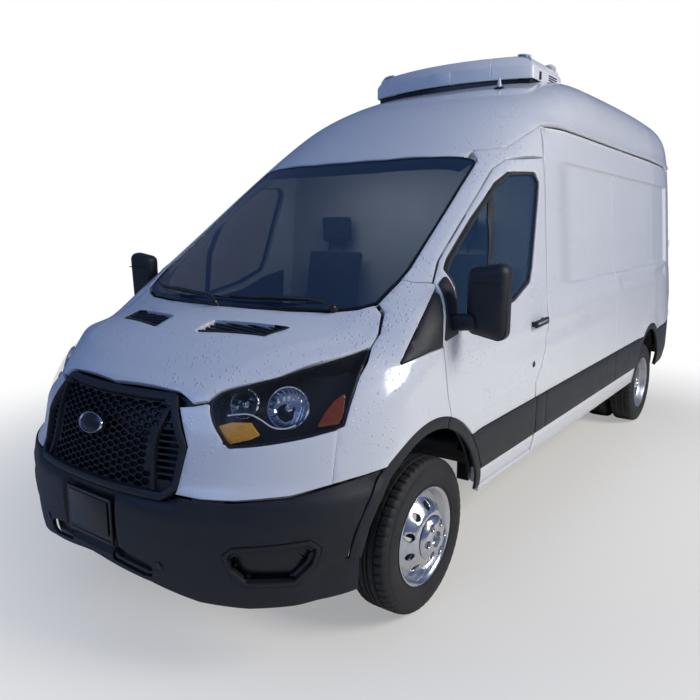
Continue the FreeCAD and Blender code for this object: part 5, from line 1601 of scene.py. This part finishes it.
def build_rear():
    """Rear doors with handle, hinges and blank plate, the frame over them, lamps and bumper."""
    for side, word in HANDS:
        body = "rear_door_%s_body" % word
        edge = [(0.0, 0.66), (0.955, 0.66), (0.955, 1.10), (0.81, 2.48), (0.0, 2.48)]
        edge = [(side * x, z) for x, z in edge]
        panel("rear_door_skin_" + word, [rounded(edge, [0.0, 0.03, 0.0, 0.06, 0.0])], from_behind, body,
              WHITE, 0.045, 0.03, relief=rear_door_relief, replaced=["rear_door_" + word])
        for k, z in enumerate((0.86, 1.55, 2.28)):
            x = float(np.interp(z, [1.10, 2.48], [0.955, 0.81])) - 0.035
            p = onto([(side * x, z)], from_behind)[0]
            hinge = block("rear_hinge", (0.052, 0.024, 0.070), (p[0], p[1] + 0.004, p[2]),
                          (0, 0, -0.35 * side), 0.006, 3)
            finish_piece(hinge, body, WHITE)
            hinge.name = "rear_hinge_%s_%d" % (word, k)
        ring = [tuple(p) for p in onto([(4.808, 0.985), (4.808, 1.335)], from_side(side))]
        seam = rear_seam(side, GAP)

        def at(h):
            return float(np.interp(h, [p[1] for p in seam], [p[0] for p in seam])), h

        ring += [tuple(p) for p in onto([at(1.335), at(0.985)], from_side(side))]
        view, seen = aslant((-0.72 * side, -0.69, 0.0), np.mean(ring, axis=0))
        lamp = rounded(seen(ring), 0.018)
        panel("tail_lamp_" + word, [lamp], view, "chassis", RED, 0.020, 0.02, gap=0.001, hem=0.003,
              proud=0.002, replaced=["tail_lamps"] if side > 0 else [])
        low, high = ring[0][2] + 0.05, ring[0][2] + 0.115
        band = onto([(4.830, low), (4.830, high), at(high), at(low)], from_side(side))
        inner = moved_in(rounded(seen([tuple(p) for p in band]), 0.008), 0.010)
        panel("tail_lamp_clear_" + word, [inner], view, "chassis", LENS, 0.006, 0.02, gap=0.0, hem=0.002,
              proud=0.006)
    grip = block("rear_handle", (0.030, 0.034, 0.170), (-0.075, AXLE + BACK + 0.020, 1.12), (0, 0, 0),
                 0.009, 4)
    shaping(grip)
    choose(lambda c, n: abs(c.z - 1.12) < 0.05 and n.y < -0.9)
    bpy.ops.mesh.inset(thickness=0.006)
    bpy.ops.transform.translate(value=(0, 0.012, 0))
    done_shaping()
    finish_piece(grip, "rear_door_right_body", BLACK)
    plate_y = float(onto([(0.42, 0.95)], from_behind)[0][1])
    carrier = block("rear_plate_carrier", (0.330, 0.012, 0.180), (0.42, plate_y - 0.002, 0.98),
                    (0, 0, -0.04), 0.004, 3)
    plate = block("rear_plate", (0.300, 0.004, 0.150), (0.42, plate_y + 0.006, 0.98), (0, 0, -0.04),
                  0.0018, 2)
    finish_piece(carrier, "rear_door_left_body", BLACK)
    finish_piece(plate, "rear_door_left_body", UNIT)
    gutter_a = float(max(math.atan2(q[0], q[2] - ROOF_CORE) for q in onto([(4.90, 2.268)], from_side(1))))
    turns = [gutter_a * (1 - 2 * k / 40) for k in range(41)]
    outer = [(p[0], p[2]) for p in onto([(a, 4.941) for a in turns], over_the_roof)]
    inner = [(-0.838, 2.268), (-0.813, 2.484), (0.813, 2.484), (0.838, 2.268)]
    panel("rear_header", [outer + inner], from_behind, "chassis", WHITE, 0.04, 0.04, gap=0.001)
    flare_foot = math.degrees(math.asin((SILL - REAR_ARCH[1]) / FLARE_R))
    flare_top = math.degrees(math.atan2(moulding_top(R_END) - REAR_ARCH[1], R_END - REAR_ARCH[0]))
    side_points = arc_points(REAR_ARCH, FLARE_R, flare_top, flare_foot, 12)
    side_points = [(4.78, 0.812), (4.40, moulding_top(4.4))] + side_points + [(4.5, SILL), (4.78, SILL)]
    left = to_tail(on_side(side_points, 1))
    foot = [(left[-1][0], SILL)] + [(left[-1][0] * t, SILL) for t in (0.6, 0.3)]
    rim_a = to_tail([tuple(p) for p in onto([(0.962, 0.70)], from_behind)])[0][0]
    half = [(rim_a, 0.652), (rim_a, 0.812)] + left + foot[1:]
    outline = [(0.0, 0.652)] + half + [(0.0, SILL)] + [(-a, z) for a, z in reversed(half)]
    panel("rear_bumper_skin", [rounded(outline, 0.004)], round_the_tail, "chassis", BLACK, 0.030,
          0.03, gap=0.002, hem=0.006, proud=0.0, replaced=["rear_bumper"])
    tread = block("rear_step_pad", (1.40, 0.050, 0.006), (0.0, AXLE + BACK - 0.045, 0.654), (0, 0, 0),
                  0.0028, 2)
    finish_piece(tread, "chassis", SMOOTH)


# Wheels: places from the middle of the tyre, (outwards, radius)

WHEEL_Z = 0.347
FRONT_TRACK, REAR_TRACK, TWIN_STEP = 0.866, 0.892, 0.222
NUT_RING, HOLE_RING = 0.0705, 0.142
DISC_FORM = ([0.0, 0.100, 0.104, 0.118, 0.142, 0.150, 0.166, 0.180, 0.200],
             [0.112, 0.112, 0.1115, 0.106, 0.088, 0.081, 0.0665, 0.052, 0.0345])
COVER_FORM = ([0.0, 0.040, 0.052, 0.070, 0.085, 0.094, 0.1005],
              [0.1395, 0.1405, 0.1425, 0.1395, 0.1320, 0.1220, 0.1130])
BARREL = [(-0.0825, 0.220), (-0.0705, 0.208), (-0.0425, 0.204), (-0.0265, 0.188), (0.0265, 0.188),
          (0.0425, 0.204), (0.0705, 0.208), (0.0825, 0.220), (0.0868, 0.2205), (0.0890, 0.2165),
          (0.0868, 0.2115), (0.0760, 0.2000), (0.0500, 0.1965), (0.0310, 0.1800), (-0.0310, 0.1800),
          (-0.0500, 0.1965), (-0.0760, 0.2000), (-0.0868, 0.2115), (-0.0890, 0.2165), (-0.0868, 0.2205)]
TYRE_SIDE = [(0.0825, 0.2206), (0.0855, 0.2315), (0.0872, 0.2360), (0.0890, 0.2362), (0.0905, 0.2440),
             (0.0945, 0.2570), (0.0958, 0.2580), (0.0962, 0.2700), (0.0975, 0.2710), (0.0975, 0.2840),
             (0.0966, 0.2980), (0.0940, 0.3080), (0.0925, 0.3085), (0.0905, 0.3170), (0.0870, 0.3270),
             (0.0800, 0.3385), (0.0740, 0.3425), (0.0620, 0.3455), (0.0475, 0.3470)]
TREAD = [(0.0455, 0.3385), (0.0375, 0.3385), (0.0355, 0.3470), (0.0150, 0.3470), (0.0135, 0.3385),
         (0.0065, 0.3385), (0.0050, 0.3470)]
TYRE_INSIDE = [(0.0665, 0.280), (0.0525, 0.326)]
TYRE_BEAD = [(0.0485, 0.2055), (0.0705, 0.2085)]


def dished(form, place, side, face=1):
    """Lays flat points on a turned form: (across, up) to a place in space with its normal."""
    def depth_at(radius):
        return np.interp(radius, *form)

    def laid(uv):
        r = np.hypot(uv[:, 0], uv[:, 1])
        soft = 0.003
        depth = (depth_at(r - soft) + depth_at(r) + depth_at(r + soft)) / 3
        slope = (depth_at(r + soft) - depth_at(np.maximum(r - soft, 0))) / (2 * soft)
        away = np.maximum(r, 1e-6)
        n = np.stack([np.ones(len(r)), -slope * uv[:, 0] / away, -slope * uv[:, 1] / away], 1)
        n /= np.linalg.norm(n, axis=1, keepdims=True)
        p = np.stack([depth, uv[:, 0], uv[:, 1]], 1)
        p[:, 0] *= face
        n[:, 0] *= face
        n = n if face > 0 else np.stack([-n[:, 0], -n[:, 1], -n[:, 2]], 1)
        p[:, 0] *= side
        n[:, 0] *= side
        return p + np.array(place), n

    return laid


def circle(x, y, radius, count):
    return [(x + radius * math.cos(2 * math.pi * k / count), y + radius * math.sin(2 * math.pi * k / count))
            for k in range(count)]


def build_tyre(name, place):
    """Tyre with ribs, shoulder blocks and rings on its side walls."""
    half = TYRE_SIDE + TREAD
    outer = half + [(-u, r) for u, r in reversed(half)]
    profile = TYRE_BEAD + outer + [(-u, r) for u, r in reversed(TYRE_BEAD)]
    profile += [(-u, r) for u, r in TYRE_INSIDE] + list(reversed(TYRE_INSIDE))
    steps = 216
    piece = spun(name, profile, (0, 0, 0), (1, 0, 0), steps, True)
    mesh = piece.data
    for v in mesh.vertices:
        r = math.hypot(v.co.y, v.co.z)
        if r < 0.3265:
            continue
        turn = int(round(math.atan2(v.co.y, v.co.z) / (2 * math.pi) * steps))
        u = abs(v.co.x)
        cut = 0.0
        if u > 0.046 and r > 0.3265:
            cut = 0.0065 if (turn + (2 if v.co.x > 0 else 0)) % 4 == 0 else 0.0
        elif r > 0.345 and 0.014 < u < 0.037:
            cut = 0.004 if (turn + int(u * 100)) % 6 == 0 else 0.0
        if cut:
            v.co.y *= (r - cut) / r
            v.co.z *= (r - cut) / r
    piece.location = (place[0], place[1], place[2])
    by_itself(piece)
    bpy.ops.object.transform_apply(location=True, rotation=True, scale=True)
    return piece


def build_wheel(side, front):
    """One wheel or pair: barrels, dished discs with hand holes, hub, nuts, cover and tyres."""
    word = WORD[side]
    metal = BRIGHT if front else STEEL
    if front:
        body, x, y = "front_wheel_" + word, FRONT_TRACK, AXLE
        nodes = (["front_rim_" + word], ["front_tyre_" + word])
        middles, faces = [0.0], [1]
    else:
        body, x, y = "rear_wheels_" + word, REAR_TRACK, AXLE + WHEELBASE
        nodes = (["rear_rims_" + word], ["rear_tyres_" + word])
        middles, faces = [0.0, -TWIN_STEP], [-1, 1]
    place = (side * x, y, WHEEL_Z)
    for k, (middle, face) in enumerate(zip(middles, faces)):
        spot = (side * (x + middle), y, WHEEL_Z)
        tyre = build_tyre("%s_tyre_%d" % (body, k), spot)
        finish_piece(tyre, body, RUBBER, nodes[1] if k == 0 else [], 30)
        barrel = spun("%s_barrel_%d" % (body, k), BARREL, spot, (side, 0, 0), 72, True)
        finish_piece(barrel, body, metal, nodes[0] if k == 0 else [], 40)
        holes = [circle(HOLE_RING * math.cos(t), HOLE_RING * math.sin(t), 0.0175, 18)
                 for t in (2 * math.pi * (j + 0.5) / 10 for j in range(10))]
        panel("%s_disc_%d" % (body, k), [circle(0, 0, 0.1945, 72)] + holes, None, body, metal, 0.007, 0.014,
              gap=0.0, hem=0.0012, laid=dished(DISC_FORM, spot, side, face))
    if front:
        pockets = [circle(NUT_RING * math.cos(t), NUT_RING * math.sin(t), 0.0165, 20)
                   for t in (2 * math.pi * j / 6 for j in range(6))]
        panel(body + "_cover", [circle(0, 0, 0.0995, 60)] + pockets + [circle(0, 0, 0.0370, 36)], None,
              body, BRIGHT, 0.003, 0.010, gap=0.0, hem=0.001, laid=dished(COVER_FORM, place, side, 1))
        core = [(0.1395, 0.0372), (0.1395, 0.0350), (0.1200, 0.0340), (0.1180, 0.0200), (0.1220, 0.0180),
                (0.1220, 0.0), (0.1120, 0.0), (0.1120, 0.0372)]
        finish_piece(spun(body + "_centre", core, place, (side, 0, 0), 36), body, BRIGHT)
        low = 0.1125
    else:
        hub = [(-0.104, 0.0), (-0.104, 0.092), (-0.098, 0.094), (-0.088, 0.082), (-0.084, 0.060),
               (-0.060, 0.053), (0.040, 0.050), (0.056, 0.048), (0.062, 0.044), (0.064, 0.036),
               (0.058, 0.033), (0.058, 0.0)]
        finish_piece(spun(body + "_hub", hub, place, (side, 0, 0), 48), body, BRIGHT)
        low = -0.100
    nuts = []
    for j in range(6):
        t = 2 * math.pi * j / 6
        spot = (place[0], place[1] + NUT_RING * math.cos(t), place[2] + NUT_RING * math.sin(t))
        nut = [(low - 0.004, 0.0), (low - 0.004, 0.0125), (low + 0.002, 0.0125), (low + 0.016, 0.0115),
               (low + 0.019, 0.009), (low + 0.019, 0.0)]
        nuts.append(spun("nut", nut, spot, (side, 0, 0), 6))
        if front:
            cup = [(0.1385, 0.0170), (0.1375, 0.0160), (0.1200, 0.0150), (0.1165, 0.0150), (0.1165, 0.0170)]
            nuts.append(spun("cup", cup, spot, (side, 0, 0), 20, True))
    finish_piece(as_one(body + "_nuts", nuts), body, metal, (), 30)


# Cab


def build_cab():
    """Dashboard with its screens and vents, steering wheel, seats and door linings."""
    outline = rounded(metres([(-55, 780), (-55, 1175), (60, 1255), (250, 1225), (345, 1160), (385, 1060),
                              (330, 900), (240, 770)]), 0.035)
    points = [(0.0, y + AXLE, z) for y, z in outline]
    mesh = bpy.data.meshes.new("dashboard_pad")
    mesh.from_pydata(points, [], [list(range(len(points)))])
    pad = placed("dashboard_pad", mesh)
    shaping(pad)
    bpy.ops.mesh.select_all(action="SELECT")
    bpy.ops.transform.translate(value=(-0.84, 0, 0))
    bpy.ops.mesh.extrude_region_move(TRANSFORM_OT_translate={"value": (1.68, 0, 0)})
    bpy.ops.mesh.select_all(action="SELECT")
    bpy.ops.mesh.normals_make_consistent(inside=False)
    for x in (-0.60, -0.25, -0.14, 0.14, 0.20, 0.66):
        bpy.ops.mesh.select_all(action="SELECT")
        bpy.ops.mesh.bisect(plane_co=(x, 0, 0), plane_no=(1, 0, 0))
    choose(lambda c, n: 0.20 < c.x < 0.66 and c.z > 1.20 and c.y > AXLE + 0.10, "VERT")
    bpy.ops.transform.translate(value=(0, 0.030, 0.028))
    choose(lambda c, n: abs(c.x) < 0.141 and c.y > AXLE + 0.28, "VERT")
    bpy.ops.transform.translate(value=(0, 0.030, 0))
    done_shaping()
    soft = pad.modifiers.new("edges", "BEVEL")
    soft.width, soft.segments, soft.limit_method, soft.angle_limit = 0.012, 3, "ANGLE", math.radians(38)
    by_itself(pad)
    bpy.ops.object.modifier_apply(modifier="edges")
    finish_piece(pad, "chassis", DASH, ["dashboard"], 35)
    extras = [("dash_screen", (0.210, 0.010, 0.120), (0.0, AXLE + 0.405, 1.150), (-0.35, 0, 0)),
              ("dash_gauges", (0.300, 0.008, 0.100), (0.43, AXLE + 0.375, 1.195), (-0.45, 0, 0)),
              ("dash_shelf", (0.400, 0.060, 0.014), (-0.46, AXLE + 0.330, 1.195), (-0.30, 0, 0))]
    for name, size, at, turn in extras:
        finish_piece(block(name, size, at, turn, 0.004, 3), "chassis", DASH_HARD)
    vents = [block("dash_vent", (0.110, 0.012, 0.050), (x, AXLE + 0.385, 1.060), (-0.15, 0, 0), 0.006, 3)
             for x in (-0.72, -0.22, 0.22, 0.72)]
    finish_piece(as_one("dash_vents", vents), "chassis", DASH_HARD)
    bpy.ops.object.select_all(action="DESELECT")
    centre, tilt = (0.43, AXLE + 0.52, 1.13), math.radians(62)
    bpy.ops.mesh.primitive_torus_add(location=centre, rotation=(tilt, 0, 0), major_radius=0.190,
                                     minor_radius=0.015, major_segments=56, minor_segments=14)
    ring = bpy.context.object
    hub = block("wheel_pad", (0.150, 0.120, 0.036), centre, (tilt, 0, 0), 0.015, 4)
    spokes = [block("spoke", (0.130, 0.034, 0.012), (centre[0] + s * 0.125, centre[1], centre[2]),
                    (tilt, 0, 0), 0.005, 3)
              for s in (-1, 1)]
    down = Vector((0, -math.cos(tilt), -math.sin(tilt))) * 0.120
    spokes.append(block("spoke", (0.040, 0.130, 0.012), Vector(centre) + down, (tilt, 0, 0), 0.005, 3))
    column = tube("column", [(0.43, AXLE + 0.49, 1.112), (0.43, AXLE + 0.36, 1.050)], 0.036, 8, False)
    wheel = as_one("steering_wheel", [ring, hub, column] + spokes)
    finish_piece(wheel, "chassis", DASH_HARD)
    for side, word in HANDS:
        card = metres([(70, 1170), (300, 1215), (780, 1285), (985, 1360), (1180, 1400), (1190, 1130),
                       (1110, 930), (1030, 860), (1030, 600)])
        arch = arc_points(FRONT_ARCH, OPEN_F + 0.03, 55, 6, 8)
        low = [(0.16, 0.86)] + card + [(0.50, 0.60)] + arch[::-1][1:-1]
        panel("door_card_" + word, [rounded(low, 0.004)], from_side(side), "door_%s_body" % word, DASH,
              0.012, 0.05, gap=0.0, hem=0.003, proud=-0.0485)
    build_seats()


def soft_form(piece, voxel, push, cap):
    """Swells a pad as padding under cloth does, and rounds it off."""
    by_itself(piece)
    remesh = piece.modifiers.new("skin", "REMESH")
    remesh.mode, remesh.voxel_size = "VOXEL", voxel
    bpy.ops.object.modifier_apply(modifier="skin")
    rest = [v.co.copy() for v in piece.data.vertices]
    cloth = piece.modifiers.new("swell", "CLOTH")
    cloth.settings.use_pressure = True
    cloth.settings.uniform_pressure_force = push
    cloth.settings.effector_weights.gravity = 0
    cloth.point_cache.frame_start, cloth.point_cache.frame_end = 1, 20
    for step in range(1, 21):
        bpy.context.scene.frame_set(step)
    bpy.ops.object.modifier_apply(modifier="swell")
    bpy.context.scene.frame_set(1)
    for v, at in zip(piece.data.vertices, rest):
        way = v.co - at
        if way.length > cap:
            v.co = at + way * (cap / way.length)
    return piece


def seat_block(name, outline, x0, x1, bevel):
    """Pad whose outline is drawn in side view, with rolled edges."""
    mesh = bpy.data.meshes.new(name)
    mesh.from_pydata([(x0, y / 1000 + AXLE, z / 1000) for y, z in outline], [], [list(range(len(outline)))])
    piece = placed(name, mesh)
    shaping(piece)
    bpy.ops.mesh.select_all(action="SELECT")
    bpy.ops.mesh.extrude_region_move(TRANSFORM_OT_translate={"value": (x1 - x0, 0, 0)})
    bpy.ops.mesh.select_all(action="SELECT")
    bpy.ops.mesh.normals_make_consistent(inside=False)
    bpy.ops.mesh.bevel(offset=bevel, segments=3, affect="EDGES")
    return done_shaping()


def seam_lines(piece, places, depth):
    """Sewn channels across a pad, pressed into its front."""
    for v in piece.data.vertices:
        for place, low, high, normal_y, normal_z in places:
            if low < v.co.z < high and abs(v.normal.y * normal_y + v.normal.z * normal_z) > 0.4:
                v.co -= v.normal * depth * math.exp(-((v.co.x - place) / 0.006) ** 2)


SEAT_X = 0.46


def build_seats():
    """Driver's and passenger's seats: padded cushion, back and head rest on a plain foot."""
    x = SEAT_X
    cushion = seat_block("seat_cushion_left", [(575, 815), (575, 920), (1065, 893), (1065, 815)], x - 0.235,
                         x + 0.235, 0.030)
    back = seat_block("seat_back_left", [(1035, 905), (1110, 905), (1222, 1545), (1158, 1552)], x - 0.225,
                      x + 0.225, 0.026)
    head = seat_block("seat_head_rest_left", [(1172, 1600), (1168, 1765), (1222, 1765), (1236, 1600)],
                      x - 0.118, x + 0.118, 0.022)
    for piece, size, cap in ((cushion, 0.014, 0.016), (back, 0.014, 0.014), (head, 0.010, 0.008)):
        soft_form(piece, size, 4.0, cap)
    seam_lines(cushion, [(x - 0.13, 0.80, 1.0, 0, 1), (x + 0.13, 0.80, 1.0, 0, 1)], 0.009)
    seam_lines(back, [(x - 0.12, 0.9, 1.6, 1, 0), (x + 0.12, 0.9, 1.6, 1, 0)], 0.009)
    for piece in (cushion, back, head):
        fine = piece.modifiers.new("fine", "SUBSURF")
        fine.levels = fine.render_levels = 1
        by_itself(piece)
        bpy.ops.object.modifier_apply(modifier="fine")
        other = copy_of(piece, piece.name.replace("left", "right"), True)
        for pad in (piece, other):
            finish_piece(pad, "chassis", CLOTH, ["seats"] if pad is cushion else [], 60)
    for side, word in HANDS:
        foot = block("seat_foot_" + word, (0.380, 0.440, 0.205), (side * x, AXLE + 0.840, 0.700), (0, 0, 0),
                     0.012, 3)
        posts = [tube("post", [(side * x + s, AXLE + 1.192, 1.540), (side * x + s, AXLE + 1.200, 1.615)],
                      0.008, 8, False)
                 for s in (-0.06, 0.06)]
        finish_piece(as_one("seat_frame_" + word, [foot] + posts), "chassis", SEAT_FRAME)


# Pieces of the vehicle

for hand in (1, -1):
    build_side(hand)
    build_door(hand)
    build_fender(hand)
    build_fascia(hand)
    build_headlight(hand)
    build_mirror(hand)
    build_handle(hand)
    build_wheel(hand, True)
    build_wheel(hand, False)
for build in (build_hood, build_windshield, build_roof, build_bumper, build_grille, build_backing,
              build_badge, build_plate, build_wipers, build_unit, build_antenna, build_rear, build_cab):
    build()

# Floor, light and camera

bpy.ops.object.select_all(action="DESELECT")
bpy.ops.mesh.primitive_plane_add(size=80, location=(0, 0, 0))
floor = bpy.context.object
floor.name = "studio_floor"
pale = bpy.data.materials.new("studio_floor")
pale.use_nodes = True
tree = pale.node_tree
matt = tree.nodes["Principled BSDF"]
matt.inputs["Base Color"].default_value = (0.93, 0.87, 0.76, 1)
matt.inputs["Roughness"].default_value = 0.9
matt.inputs["Specular IOR Level"].default_value = 0.1
glow = node(tree, "ShaderNodeEmission", Color=(1, 1, 1, 1), Strength=1.0)
spot = node(tree, "ShaderNodeTexCoord")
far = node(tree, "ShaderNodeVectorMath", operation="LENGTH")
wire(spot, "Object", far, 0)
fade = node(tree, "ShaderNodeMapRange", interpolation_type="SMOOTHSTEP")
fade.inputs["From Min"].default_value, fade.inputs["From Max"].default_value = 2.2, 5.0
fade.inputs["To Min"].default_value = 0.34
wire(far, "Value", fade, "Value")
light_path = node(tree, "ShaderNodeLightPath")
seen = node(tree, "ShaderNodeMath", operation="MULTIPLY")
wire(fade, "Result", seen, 0)
wire(light_path, "Is Camera Ray", seen, 1)
blend = node(tree, "ShaderNodeMixShader")
wire(seen, "Value", blend, "Fac")
wire(matt, "BSDF", blend, 1)
wire(glow, "Emission", blend, 2)
tree.links.new(blend.outputs["Shader"], tree.nodes["Material Output"].inputs["Surface"])
floor.data.materials.append(pale)

world = bpy.data.worlds.new("studio")
bpy.context.scene.world = world
world.use_nodes = True
tree = world.node_tree
plain = tree.nodes["Background"]
plain.inputs["Color"].default_value = (0.34, 0.50, 1.0, 1)
plain.inputs["Strength"].default_value = 0.24
white = node(tree, "ShaderNodeBackground", Color=(1, 1, 1, 1), Strength=1.0)
light_path = node(tree, "ShaderNodeLightPath")
either = node(tree, "ShaderNodeMath", operation="MAXIMUM")
wire(light_path, "Is Camera Ray", either, 0)
wire(light_path, "Is Transmission Ray", either, 1)
mixed = node(tree, "ShaderNodeMixShader")
wire(either, "Value", mixed, "Fac")
wire(plain, "Background", mixed, 1)
wire(white, "Background", mixed, 2)
tree.links.new(mixed.outputs["Shader"], tree.nodes["World Output"].inputs["Surface"])


def lamp(name, place, aim, size, power, colour):
    """Soft lamp that faces a point."""
    light = bpy.data.lights.new(name, "AREA")
    light.shape, light.size, light.size_y = "RECTANGLE", size[0], size[1]
    light.energy, light.color = power, colour
    made = placed(name, light)
    made.location = place
    made.rotation_euler = (Vector(aim) - Vector(place)).to_track_quat("-Z", "Y").to_euler()
    return made


lamp("key", (8.5, 0.5, 6.2), (0, 0, 1.0), (4, 4), 600, (1.0, 0.985, 0.96))
lamp("sky", (-1.5, -8.5, 5.5), (0, -1.5, 1.2), (7, 4), 110, (0.28, 0.49, 1.0))
lamp("back", (-6.5, 5.0, 5.5), (0, 1, 1.2), (5, 4), 120, (0.75, 0.86, 1.0)).visible_glossy = False
lamp("cab", (0.0, AXLE + 0.75, 1.93), (0, AXLE + 1.3, 1.0), (1.0, 0.35), 6, (0.80, 0.90, 1.0))

camera = bpy.data.cameras.new("photo_view")
camera.sensor_width, camera.lens = 36, 33.684
camera.shift_x, camera.shift_y = -0.00037, -0.00507
stand = placed("photo_view", camera)
yaw, pitch = math.radians(36.481), math.radians(9.894)
stand.location = (2.28557, -2.36280 + AXLE, 1.66090)
way = Vector((-math.sin(yaw) * math.cos(pitch), math.cos(yaw) * math.cos(pitch), -math.sin(pitch)))
stand.rotation_euler = way.to_track_quat("-Z", "Y").to_euler()
bpy.context.scene.camera = stand
bpy.context.scene.view_settings.view_transform = "Standard"
